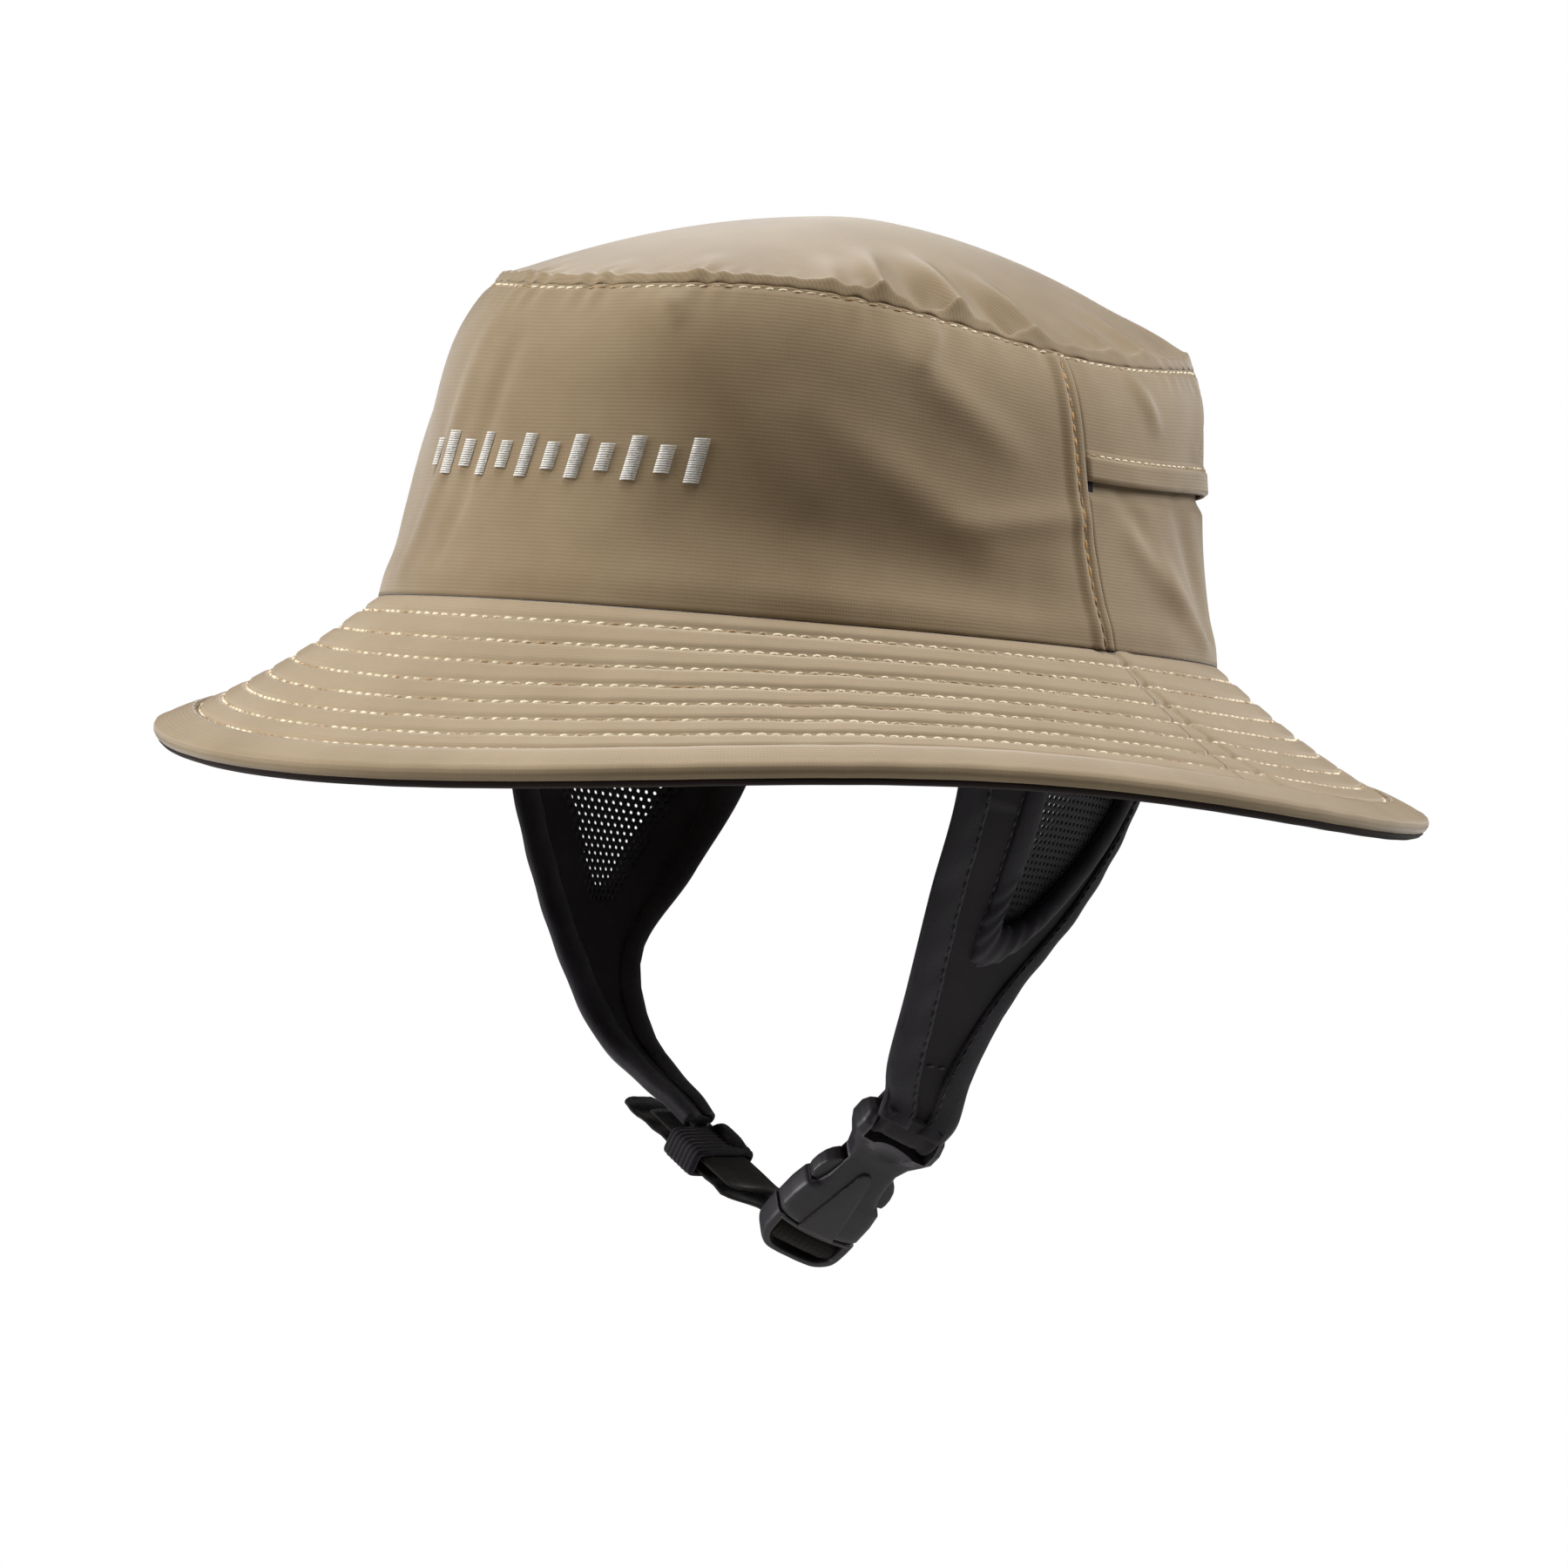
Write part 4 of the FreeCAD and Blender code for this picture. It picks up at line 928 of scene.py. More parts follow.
@dataclass
class SatinMotif:
    """Generic zigzag of white satin stitch across the front."""

    shape: HatShape = SHAPE
    width: float = 78.0
    height: float = 9.0
    centre_deg: float = 3.5
    level: float = 0.45
    strokes: int = 12
    stroke_width: float = 3.4
    body: str = "hat"

    def build(self) -> bpy.types.Object:
        """Raised strokes made of threads that lie side by side.

        Returns:
            The motif's object.
        """
        per_mm = 1 / (self.shape.half_width - self.shape.waist)
        middle = math.radians(self.centre_deg)
        points, faces = [], []
        spread = np.linspace(-0.5, 0.5, self.strokes)
        for number, offset in enumerate(spread):
            centre = offset * (self.width - self.stroke_width)
            tall = self.height / 2 * (1.0 if number % 2 else 0.62)
            lean = 0.18 * tall
            rows = np.linspace(-tall, tall, 2 * int(tall / 0.22))
            for low, high in zip(rows[:-1:2], rows[1::2]):
                across = np.linspace(-0.5, 0.5, 7)
                for v, side in ((low, -1), (high, 1)):
                    for a in across:
                        arch = 0.75 * (1 - (2 * a) ** 4)
                        x = centre + a * self.stroke_width + lean * v / tall
                        theta = np.array(middle + x * per_mm)
                        share = np.array(self.level + (v + side * 0.05) / self.shape.height)
                        points.append(self.shape.wall(theta, share, -0.12 - arch))
                start = len(points) - 14
                mid = []
                for a in across:
                    arch = 0.75 * (1 - (2 * a) ** 4) + 0.14
                    x = centre + a * self.stroke_width + lean * (low + high) / 2 / tall
                    theta = np.array(middle + x * per_mm)
                    share = np.array(self.level + (low + high) / 2 / self.shape.height)
                    mid.append(self.shape.wall(theta, share, -0.12 - arch))
                points.extend(mid)
                for i in range(6):
                    faces.append([start + i, start + i + 1, start + 15 + i, start + 14 + i])
                    faces.append([start + 14 + i, start + 15 + i, start + 8 + i, start + 7 + i])
        motif = mesh_object("satin_motif", np.array(points), faces, Finish.WHITE)
        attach(motif, self.body)
        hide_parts("front_motif")
        return motif


# ---------------------------------------------------------------- brim
@dataclass
class Brim:
    """Quilted brim: top cloth, lining, rolled edge and eight rows of stitching."""

    shape: HatShape = SHAPE
    rows: int = 8
    first_row: float = 4.2         # millimetres of cloth from the crown
    edge_width: float = 9.0
    groove: float = 0.75
    seam_start_deg: float = 90.6
    seam_end_deg: float = 97.0
    body: str = "hat"

    def row_share(self, number: int) -> float:
        """Share of the brim's width at one row of stitching."""
        width = float(np.mean(self.shape.brim_width(np.linspace(0, 2 * math.pi, 72))))
        first = self.first_row / width
        last = 1 - (self.edge_width + 0.6) / width
        return first + (last - first) * number / (self.rows - 1)

    def seam_turn(self, share: Array) -> Array:
        """Turn of the brim's side seam."""
        return np.radians(self.seam_start_deg
                          + (self.seam_end_deg - self.seam_start_deg) * share ** 1.3)

    def relief(self, theta: Array, share: Array) -> Array:
        """Depth of the quilting below the brim's plain surface."""
        width = self.shape.brim_width(theta)
        total = np.zeros_like(share)
        for number in range(self.rows):
            total += self.groove * bell((share - self.row_share(number)) * width, 0.75)
        pad = 0.16 * ripple(theta, 21, 20, 60) * np.sin(np.pi * share)
        wave = 0.5 * ripple(theta, 23, 3, 9) * share ** 2
        return total + pad * 0.6 + wave * 0.5

    def top_place(self, theta: Array, share: Array, depth: float) -> Array:
        """Top cloth with its grooves, puckers and side seams."""
        sink = self.relief(theta, share)
        seam = self.seam_turn(share)
        turn = (theta + math.pi) % (2 * math.pi) - math.pi
        for side in (1, -1):
            away = (side * turn - seam) * 110
            sink = sink + 0.75 * bell(away, 0.55) - 0.35 * bell(away - 3.5, 3.0)
        tuck = 0.15 * (1 - ease(0.0, 0.045, share))
        return self.shape.brim(theta, share, depth + sink + tuck)

    def lining_place(self, theta: Array, share: Array, depth: float) -> Array:
        """Lining with the same rows showing as grooves from below."""
        return self.shape.brim(theta, share, depth - 0.7 * self.relief(theta, share))

    def edge_section(self, theta: Array, under: bool) -> Array:
        """Rounded hook of the rolled edge, or of the lining turned up under it, for each turn."""
        width = self.shape.brim_width(theta)
        stack = 2 * self.shape.cloth + self.shape.foam + 0.4
        lap = 1 - self.edge_width / width
        radial = self.shape.outward(theta)
        soft = 0.3 * ripple(theta, 31, 30, 80)
        if under:
            profile = [(1.0, stack - 1.3, 1.6), (1.0, stack - 0.6, 1.75), (1.0, stack + 0.1, 1.3),
                       (0.97, stack + 0.6, 0.3), (0.7, stack + 0.7, 0.0), (0.3, stack + 0.65, 0.0),
                       (0.0, stack + 0.5, 0.0), (0.0, stack - 0.1, 0.0), (0.5, stack - 0.1, 0.0),
                       (0.9, stack - 0.4, 0.0)]
        else:
            profile = [(0.0, 0.5, 0.0), (0.0, -0.3, 0.0), (0.06, -0.62, 0.0), (0.25, -0.75, 0.0),
                       (0.5, -0.8, 0.0), (0.75, -0.75, 0.0), (0.93, -0.6, 0.0), (1.0, -0.2, 0.95),
                       (1.0, 0.7, 1.75), (1.0, 1.7, 2.1), (1.0, stack - 1.6, 2.0),
                       (1.0, stack - 0.9, 1.5), (1.0, stack - 1.0, 0.4), (0.9, 0.6, 0.0)]
        points = []
        for part, depth, past in profile:
            share = lap + (1 - lap) * part
            puff = soft * (0.3 if depth < 0 else 0.1)
            point = self.shape.brim(theta, share, depth + 0 * theta - puff)
            points.append(point + radial * past)
        return np.stack(points, 1)

    def build(self) -> list[bpy.types.Object]:
        """Make every visible piece of the brim.

        Returns:
            The pieces, each riding on the hat.
        """
        shape = self.shape
        pieces = []
        shares = np.linspace(0.0, 0.93, 96)
        lining_depth = shape.cloth + 0.2 + shape.foam
        for name, centre in (("front", 0.0), ("back", math.pi)):
            turns = centre + np.linspace(-math.pi / 2, math.pi / 2, 420)
            top = sheet_object("brim_top_" + name + "_cloth", self.top_place, turns, shares,
                               (0.0, shape.cloth * 0.8), Finish.BRIM, (118.0, 56.0))
            under = sheet_object("brim_lining_" + name + "_cloth", self.lining_place, turns,
                                 np.linspace(0.02, 0.93, 60),
                                 (lining_depth, lining_depth + shape.cloth), Finish.LINING,
                                 (118.0, 56.0))
            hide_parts("brim_top_" + name)
            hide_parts("brim_lining_" + name)
            pieces += [top, under]
        turns = np.linspace(0, 2 * math.pi, 721)[:-1]
        for name, finish, under, flat in (("rolled_edge", Finish.PIPING, False, (0.860, 0.018)),
                                          ("edge_lining", Finish.LINING, True, (0.860, 0.012))):
            edge = swept_object(name, self.edge_section(turns, under), finish, closed=True)
            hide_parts("brim_edge_binding")
            pieces.append(edge)
        around = np.linspace(-math.pi, math.pi, 1200)

        def top_face(first: Array, second: Array) -> Array:
            """Points of the top cloth's face."""
            return self.top_place(first, second, 0.0)

        def under_face(first: Array, second: Array) -> Array:
            """Points of the lining's face."""
            return self.lining_place(first, second, lining_depth + shape.cloth)
        for number in range(self.rows):
            share = np.full_like(around, self.row_share(number))
            for face, word, sign in ((top_face, "top", 1.0), (under_face, "under", -1.0)):
                normal = normals_of(face, around, share)
                normal *= np.sign(normal[..., 2:3]) * sign
                finish = Finish.CREAM if word == "top" else Finish.BLACK
                row = stitches(f"brim_stitching_{word}_{number}", face(around, share), normal,
                               finish, 2.1, 1.0, 0.34, 0.14)
                pieces.append(row)
        for piece in pieces:
            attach(piece, self.body)
        return pieces


# ---------------------------------------------------------------- chin strap frames
@dataclass(frozen=True)
class LocalFrame:
    """Origin and three unit ways of the buckle or of the strap."""

    origin: tuple[float, float, float]
    along: tuple[float, float, float]
    across: tuple[float, float, float]

    @property
    def out(self) -> Array:
        """Third way, out of the face."""
        return np.cross(self.along, self.across)

    def at(self, x: Array | float, y: Array | float, z: Array | float) -> Array:
        """Points from their local coordinates."""
        x, y, z = np.broadcast_arrays(*(np.asarray(v, float) for v in (x, y, z)))
        return (np.array(self.origin) + x[..., None] * np.array(self.along)
                + y[..., None] * np.array(self.across) + z[..., None] * self.out)


def buckle_frame(slope_deg: float = 45.0, roll_deg: float = 30.0) -> LocalFrame:
    """Frame of the buckle: along it, across it towards the front, and out of its outer face."""
    slope, roll = math.radians(slope_deg), math.radians(roll_deg)
    along = np.array([math.cos(slope), 0, math.sin(slope)])
    downhill = np.array([math.sin(slope), 0, -math.cos(slope)])
    across = -(np.array([0, math.cos(roll), 0]) + downhill * math.sin(roll))
    return LocalFrame((19.0, -2.0, -130.0), tuple(along), tuple(across))


def strap_frame(slope_deg: float = 30.0) -> LocalFrame:
    """Frame of the doubled webbing, from the middle of its keeper."""
    slope = math.radians(slope_deg)
    return LocalFrame((-15.0, -1.0, -118.9), (math.cos(slope), 0, -math.sin(slope)), (0, 1, 0))


BUCKLE = buckle_frame()
STRAP = strap_frame()


class Side(Enum):
    """Which ear flap."""

    LEFT = 1
    RIGHT = -1


def smooth_line(points: Sequence[Array], count: int) -> Array:
    """Even points on a smooth line through the given ones.

    Args:
        points: points that the line passes through.
        count: how many points to give.

    Returns:
        Array of count points.
    """
    given = np.array(points, float)
    knots = np.concatenate([[0], np.cumsum(np.linalg.norm(np.diff(given, axis=0), axis=1) ** 0.5)])
    slopes = np.gradient(given, knots, axis=0)
    at = np.linspace(0, knots[-1], count * 6)
    spot = np.clip(np.searchsorted(knots, at, side="right") - 1, 0, len(knots) - 2)
    gap = (knots[spot + 1] - knots[spot])[:, None]
    t = (at - knots[spot])[:, None] / gap
    line = (given[spot] * (2 * t ** 3 - 3 * t ** 2 + 1)
            + given[spot + 1] * (3 * t ** 2 - 2 * t ** 3)
            + slopes[spot] * gap * (t ** 3 - 2 * t ** 2 + t)
            + slopes[spot + 1] * gap * (t ** 3 - t ** 2))
    run = np.concatenate([[0], np.cumsum(np.linalg.norm(np.diff(line, axis=0), axis=1))])
    even = np.linspace(0, run[-1], count)
    return np.stack([np.interp(even, run, line[:, i]) for i in range(3)], -1)


@dataclass
class EarFlap:
    """One ear flap: neoprene sheet, folded edge bindings, mesh window and its padded rim."""

    side: Side
    front_shifts: tuple[tuple[float, float, float], ...]
    rear_shifts: tuple[tuple[float, float, float], ...]
    window: tuple[tuple[float, float], ...]     # share across and row, round the window
    hole_pitch: float
    top_z: float = 6.0
    inset: float = 9.2
    front_y: float = -31.0
    rear_y: float = 62.0
    bend_radius: float = 111.0
    thickness: float = 2.2
    binding_width: float = 7.5
    nominal: tuple[float, float] = (60.0, 115.0)    # width and length, to space a closed outline
    drop: float = 110.0            # length down the flap, to turn a share into millimetres
    rows: int = 140
    box_rows: tuple[float, ...] = (0.865,)      # stitching across the end, as shares of its length
    window_scale: float = 0.965    # the tongue past the window lengthens the flap by the rest
    hinge_z: float = -19.0         # the right flap's pieces are cut in two here
    cuts: dict[str, tuple[tuple[float, float], float]] = field(
        default_factory=lambda: {"left_flap_sheet": ((0.094, 0.125), 0.0060),
                                 "left_flap_edges": ((0.094, 0.125), 0.0040),
                                 "left_flap_net": ((0.051, 0.057), 0.0021),
                                 "right_flap_sheet_top": ((0.092, 0.026), 0.0020),
                                 "right_flap_edges_top": ((0.096, 0.027), 0.0009),
                                 "right_flap_net_top": ((0.045, 0.012), 0.0004),
                                 "right_flap_sheet": ((0.086, 0.100), 0.0042),
                                 "right_flap_edges": ((0.086, 0.100), 0.0035),
                                 "right_flap_net": ((0.048, 0.048), 0.0014)})
    edges: tuple[Array, Array] = field(init=False)

    def __post_init__(self) -> None:
        """Work out the two edges of the flap."""
        self.edges = (self.edge(self.front_y, 1, self.front_shifts),
                      self.edge(self.rear_y, -1, self.rear_shifts))

    def top_point(self, y: float) -> Array:
        """Where the sewn edge crosses y inside the sweatband."""
        half_width, half_length = SHAPE.half_width - self.inset, SHAPE.half_length - self.inset
        return np.array([self.side.value * half_width * math.sqrt(1 - (y / half_length) ** 2),
                         y, self.top_z])

    def edge(self, y: float, hand: int,
             shifts: Sequence[tuple[float, float, float]]) -> Array:
        """Points down one edge; hand is 1 for the front and -1 for the rear."""
        top = self.top_point(y)
        if self.side is Side.LEFT:
            end, tongue = BUCKLE.at(38.0, 9.3 * hand, 0.6), BUCKLE.at(33.4, 8.2 * hand, 2.9)
        else:
            end, tongue = STRAP.at(-11.5, -5.3 * hand, 4.9), STRAP.at(-6.2, -4.4 * hand, 4.4)
        inner = [top + (end - top) * share + np.array([dx, dy, 0]) for share, dx, dy in shifts]
        return smooth_line([top, *inner, end, tongue], self.rows)

    def place(self, across: Array, row: Array, depth: float | Array) -> Array:
        """Points of the flap; across is 0 at the front edge, row 0 at the top and 1 at the end."""
        spot = np.asarray(row) * (self.rows - 1)
        low = np.clip(np.floor(spot).astype(int), 0, self.rows - 2)
        part = (spot - low)[..., None]

        def middle(column: Array, shift: int) -> Array:
            """Points of the flap's middle layer, some rows further down."""
            at = np.clip(low + shift, 0, self.rows - 2)
            front = self.edges[0][at] * (1 - part) + self.edges[0][at + 1] * part
            rear = self.edges[1][at] * (1 - part) + self.edges[1][at + 1] * part
            width = np.linalg.norm(rear - front, axis=-1)
            bow = width ** 2 / (8 * self.bend_radius) * 4 * column * (1 - column)
            point = front + (rear - front) * column[..., None]
            point[..., 0] += self.side.value * bow
            return point

        across = np.asarray(across, float)
        down = middle(across, 2) - middle(across, -2)
        over = middle(np.minimum(1, across + 0.04), 0) - middle(np.maximum(0, across - 0.04), 0)
        normal = np.cross(down, over)
        normal /= np.linalg.norm(normal, axis=-1, keepdims=True)
        return middle(across, 0) + self.side.value * normal * np.asarray(depth)[..., None]

    def width_at(self, row: Array) -> Array:
        """Width of the flap at a row."""
        spot = np.clip((np.asarray(row) * (self.rows - 1)).astype(int), 0, self.rows - 1)
        return np.linalg.norm(self.edges[1][spot] - self.edges[0][spot], axis=-1)

    def window_line(self, count: int = 160) -> Array:
        """Smooth closed outline of the window, as shares across and rows."""
        given = np.array(self.window + self.window[:2]) * np.array([1.0, self.window_scale])
        wide, long = self.nominal
        given3 = np.column_stack([given[:, 0] * wide, given[:, 1] * long, np.zeros(len(given))])
        start = np.array([self.window[-1][0] * wide,
                          self.window[-1][1] * self.window_scale * long, 0.0])
        line = smooth_line([start, *given3], 1200)
        first = int(np.argmin(np.linalg.norm(line[:300] - given3[0], axis=1)))
        last = 600 + int(np.argmin(np.linalg.norm(line[600:] - given3[0], axis=1)))
        loop = line[first:last + 1]
        run = np.concatenate([[0], np.cumsum(np.linalg.norm(np.diff(loop, axis=0), axis=1))])
        even = np.linspace(0, run[-1], count + 1)[:-1]
        return np.stack([np.interp(even, run, loop[:, 0]) / wide,
                         np.interp(even, run, loop[:, 1]) / long], -1)

    def sheet(self, name: str) -> bpy.types.Object:
        """Neoprene with the window left open, as a ring of faces between the two outlines."""
        hole = self.window_line()
        centre = hole.mean(axis=0)
        rays = hole - centre
        reach = np.full(len(rays), 1e9)
        for axis in (0, 1):
            for limit in (0.0, 1.0):
                with np.errstate(divide="ignore", invalid="ignore"):
                    t = (limit - centre[axis]) / rays[:, axis]
                reach = np.where((t > 0) & (t < reach), t, reach)
        outer = centre + rays * reach[:, None]
        order = np.argsort(np.arctan2(*(outer - centre).T[::-1]))
        hole, outer = hole[order], outer[order]
        corners = [int(np.argmin(np.linalg.norm(outer - c, axis=1)))
                   for c in ((0, 0), (1, 0), (0, 1), (1, 1))]
        for index, corner in zip(corners, ((0, 0), (1, 0), (0, 1), (1, 1))):
            outer[index] = corner
        ring = 60
        steps = np.linspace(0, 1, ring)
        loop_hole = np.concatenate([hole, hole[:1]])
        loop_outer = np.concatenate([outer, outer[:1]])
        a = loop_hole[:, None, 0] + (loop_outer - loop_hole)[:, None, 0] * steps[None]
        r = loop_hole[:, None, 1] + (loop_outer - loop_hole)[:, None, 1] * steps[None]
        half = self.thickness / 2

        def ringed(i: Array, j: Array, depth: float) -> Array:
            """Points of the ring, thinner at the window's edge."""
            i, j = i.astype(int), j.astype(int)
            return self.place(a[i, j], r[i, j], depth * (1 - 0.35 * (j == 0)))
        return sheet_object(name, ringed, np.arange(len(loop_hole)), np.arange(ring),
                            (half, -half), Finish.FLAP, (0.7, 1.5))

    def binding(self, name: str, rear: bool) -> bpy.types.Object:
        """Folded binding over one edge, round in section and slightly uneven."""
        rows = np.linspace(0.0, 1.0, 200)
        width = self.width_at(rows)
        half = self.thickness / 2
        profile = [(1.0, half + 0.15), (0.97, half + 0.75), (0.75, half + 0.95),
                   (0.4, half + 0.9), (0.1, half + 0.6), (-0.06, half * 0.6), (-0.09, 0.0),
                   (-0.06, -half * 0.6), (0.1, -half - 0.6), (0.4, -half - 0.8),
                   (0.9, -half - 0.6), (1.0, -half - 0.1), (0.4, -half + 0.4), (0.1, 0.0),
                   (0.4, half - 0.4)]
        sections = []
        for part, depth in profile:
            share = np.minimum(0.42, self.binding_width / width) * part
            wave = 0.12 * np.sin(rows * 70 + 3 * part) * (abs(depth) > half)
            across = 1 - share if rear else share
            sections.append(self.place_free(across, rows, depth + wave))
        return swept_object(name, np.stack(sections, 1), Finish.FLAP_EDGE, closed=False)

    def place_free(self, across: Array, row: Array, depth: Array) -> Array:
        """As place, but going on straight past either edge."""
        inside = np.clip(across, 0, 1)
        point = self.place(inside, row, depth)
        rear = self.place(np.ones_like(inside), row, 0.0)
        over = rear - self.place(np.zeros_like(inside), row, 0.0)
        return point + over * (across - inside)[..., None]

    def mesh_window(self, name: str) -> bpy.types.Object:
        """Knitted mesh of real round holes, cut to a little more than the window."""
        hole = self.window_line(80)
        centre = hole.mean(axis=0)
        width = float(self.width_at(np.array([centre[1]]))[0])
        length = float(np.linalg.norm(np.diff(self.edges[0], axis=0), axis=1).sum())
        pitch = self.hole_pitch
        corner, bore = 0.577 * pitch, 0.25 * pitch      # reach of a cell and of its hole
        near, far = -0.7, -1.15                         # faces of the yarn, behind the neoprene
        low, high = hole.min(axis=0), hole.max(axis=0)
        points, faces = [], []
        angles = np.radians(np.arange(6) * 60 + 30)
        line = 0
        y = low[1] * length
        spots = []
        while y < high[1] * length:
            x = low[0] * width + (pitch / 2 if line % 2 else 0)
            while x < high[0] * width:
                spots.append((x, y))
                x += pitch
            y += pitch * 0.866
            line += 1
        grown = centre + (hole - centre) * 1.12
        for x, y in spots:
            a, r = x / width, y / length
            if not self.inside(grown, a, r):
                continue
            start = len(points)
            for size, depth in ((corner, near), (corner, far), (bore, far), (bore, near)):
                for angle in angles:
                    points.append((a + size * math.cos(angle) / width,
                                   r + size * math.sin(angle) / length, depth))
            for i in range(6):
                j = (i + 1) % 6
                faces.append([start + i, start + j, start + 18 + j, start + 18 + i])
                faces.append([start + 6 + j, start + 6 + i, start + 12 + i, start + 12 + j])
                faces.append([start + 12 + i, start + 18 + i, start + 18 + j, start + 12 + j])
        table = np.array(points)
        placed = self.place(np.clip(table[:, 0], 0, 1), np.clip(table[:, 1], 0, 1), table[:, 2])
        return mesh_object(name, placed, faces, Finish.MESH, merge=True)

    def inside(self, outline: Array, a: float, r: float) -> bool:
        """Whether a point lies inside a closed outline."""
        x, y = outline[:, 0], outline[:, 1]
        nx, ny = np.roll(x, -1), np.roll(y, -1)
        with np.errstate(divide="ignore", invalid="ignore"):
            cross = ((y > r) != (ny > r)) & (a < (nx - x) * (r - y) / (ny - y) + x)
        return bool(cross.sum() % 2)

    def rim(self, name: str) -> bpy.types.Object:
        """Padded rim round the window, gathered towards its lower end."""
        hole = self.window_line(220)
        centre = hole.mean(axis=0)
        way = hole - centre
        width = self.width_at(hole[:, 1])
        size = np.hypot(way[:, 0] * width, way[:, 1] * self.drop)
        sides = 12
        sections = []
        fat = 2.2 + 0.9 * ease(0.4, 0.6, hole[:, 1])
        gather = 0.22 * ripple(np.arange(len(hole)) * 2 * math.pi / len(hole), 61, 22, 40) * ease(
            0.40, 0.52, hole[:, 1])
        for i in range(sides):
            angle = 2 * math.pi * i / sides
            push = (fat + gather) * math.cos(angle) * 1.6 + 1.2
            depth = 1.2 + (fat + gather) * math.sin(angle) * 0.75
            spot = centre + way * (1 + push / size)[:, None]
            sections.append(self.place(np.clip(spot[:, 0], 0, 1), np.clip(spot[:, 1], 0, 1), depth))
        return swept_object(name, np.stack(sections, 1), Finish.FLAP_EDGE, closed=True)

    def seam_lines(self, name: str) -> bpy.types.Object:
        """Stitching beside each binding and round the window."""
        rows = np.linspace(0.01, 0.985, 300)
        width = self.width_at(rows)
        share = np.minimum(0.42, self.binding_width / width) * 0.86
        lines = []
        depth = self.thickness / 2 + 0.95
        for across in (share, 1 - share):
            path = self.place(across, rows, depth)
            out = self.place(across, rows, depth + 1.0) - path
            lines.append(stitches("line", path, out, Finish.BLACK, 1.8, 0.8, 0.22, 0.05))
        hole = self.window_line(260)
        centre = hole.mean(axis=0)
        way = hole - centre
        size = np.hypot(way[:, 0] * self.width_at(hole[:, 1]), way[:, 1] * self.drop)
        spot = np.clip(centre + way * (1 + 5.6 / size)[:, None], 0, 1)
        path = self.place(spot[:, 0], spot[:, 1], self.thickness / 2 + 0.05)
        out = self.place(spot[:, 0], spot[:, 1], self.thickness / 2 + 1.0) - path
        lines.append(stitches("line", path, out, Finish.BLACK, 1.8, 0.8, 0.24, 0.05))
        across = np.linspace(0.36, 0.64, 60)
        for level in self.box_rows:
            row = np.full_like(across, level)
            path = self.place(across, row, depth - 0.75)
            out = self.place(across, row, depth + 0.25) - path
            lines.append(stitches("line", path, out, Finish.BLACK, 1.8, 0.7, 0.3, 0.05))
        return join_pieces(name, lines)

    def build(self) -> list[bpy.types.Object]:
        """Make every piece of the flap.

        Returns:
            The pieces, baked in place; those of the right flap are cut in two at hinge_z.
        """
        word = self.side.name.lower()
        bindings = join_pieces(word + "_flap_edges", [self.binding("front", False),
                                                      self.binding("rear", True)])
        made = ((self.sheet(word + "_flap_sheet"), "ear_flap", "neoprene"),
                (bindings, "flap_bindings", "flap_binding"),
                (self.mesh_window(word + "_flap_net"), "flap_mesh", "mesh"),
                (self.rim(word + "_window_rim"), "window_binding", "flap_binding"),
                (self.seam_lines(word + "_flap_stitching"), "flap_bindings", "flap_binding"))
        pieces = []
        for piece, node, slot in made:
            name = piece.name
            if self.side is Side.LEFT:
                parts = [piece]
            else:
                parts = split_at(piece, self.hinge_z * MM, (name + "_top", name))
            for part in parts:
                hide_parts(f"{word}_{node}")
                self.declare(part)
                if self.side is Side.LEFT or part.name.endswith("_top"):
                    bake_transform(part)
                else:
                    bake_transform(part)
            pieces += parts
        return pieces

    def declare(self, part: bpy.types.Object) -> None:
        """Look up what a soft part of the flap was cut from; nothing is done with it."""
        if "window_rim" in part.name:
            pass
        elif part.name in self.cuts:
            flat, area = self.cuts[part.name]


# ---------------------------------------------------------------- buckle
def rounded_section(half_wide: float, half_tall: float, power: float = 6.0,
                    count: int = 40) -> Array:
    """Points of a rectangle with rounded corners, as across and out."""
    angle = np.arange(count) * 2 * math.pi / count + math.pi / count
    c, s = np.cos(angle), np.sin(angle)
    return np.stack([half_wide * np.sign(c) * np.abs(c) ** (2 / power),
                     half_tall * np.sign(s) * np.abs(s) ** (2 / power)], -1)


def carve(piece: bpy.types.Object, cutters: Sequence[bpy.types.Object]) -> None:
    """Cut closed meshes out of a closed mesh, then round the new edges a little."""
    for cutter in cutters:
        step = piece.modifiers.new("cut", "BOOLEAN")
        step.operation = "DIFFERENCE"
        step.solver = "EXACT"
        step.object = cutter
    apply_modifiers(piece)
    for cutter in cutters:
        bpy.data.objects.remove(cutter)
    step = piece.modifiers.new("round", "BEVEL")
    step.width = 0.25 * MM
    step.segments = 2
    step.limit_method = "ANGLE"
    step.angle_limit = math.radians(40)
    apply_modifiers(piece)
    piece.data.shade_smooth()
    piece.data.set_sharp_from_angle(angle=math.radians(48))


def apply_modifiers(piece: bpy.types.Object) -> None:
    """Put the result of an object's modifiers into its mesh."""
    bpy.context.view_layer.update()
    shown = piece.evaluated_get(bpy.context.evaluated_depsgraph_get())
    mesh = bpy.data.meshes.new_from_object(shown)
    piece.modifiers.clear()
    piece.data = mesh


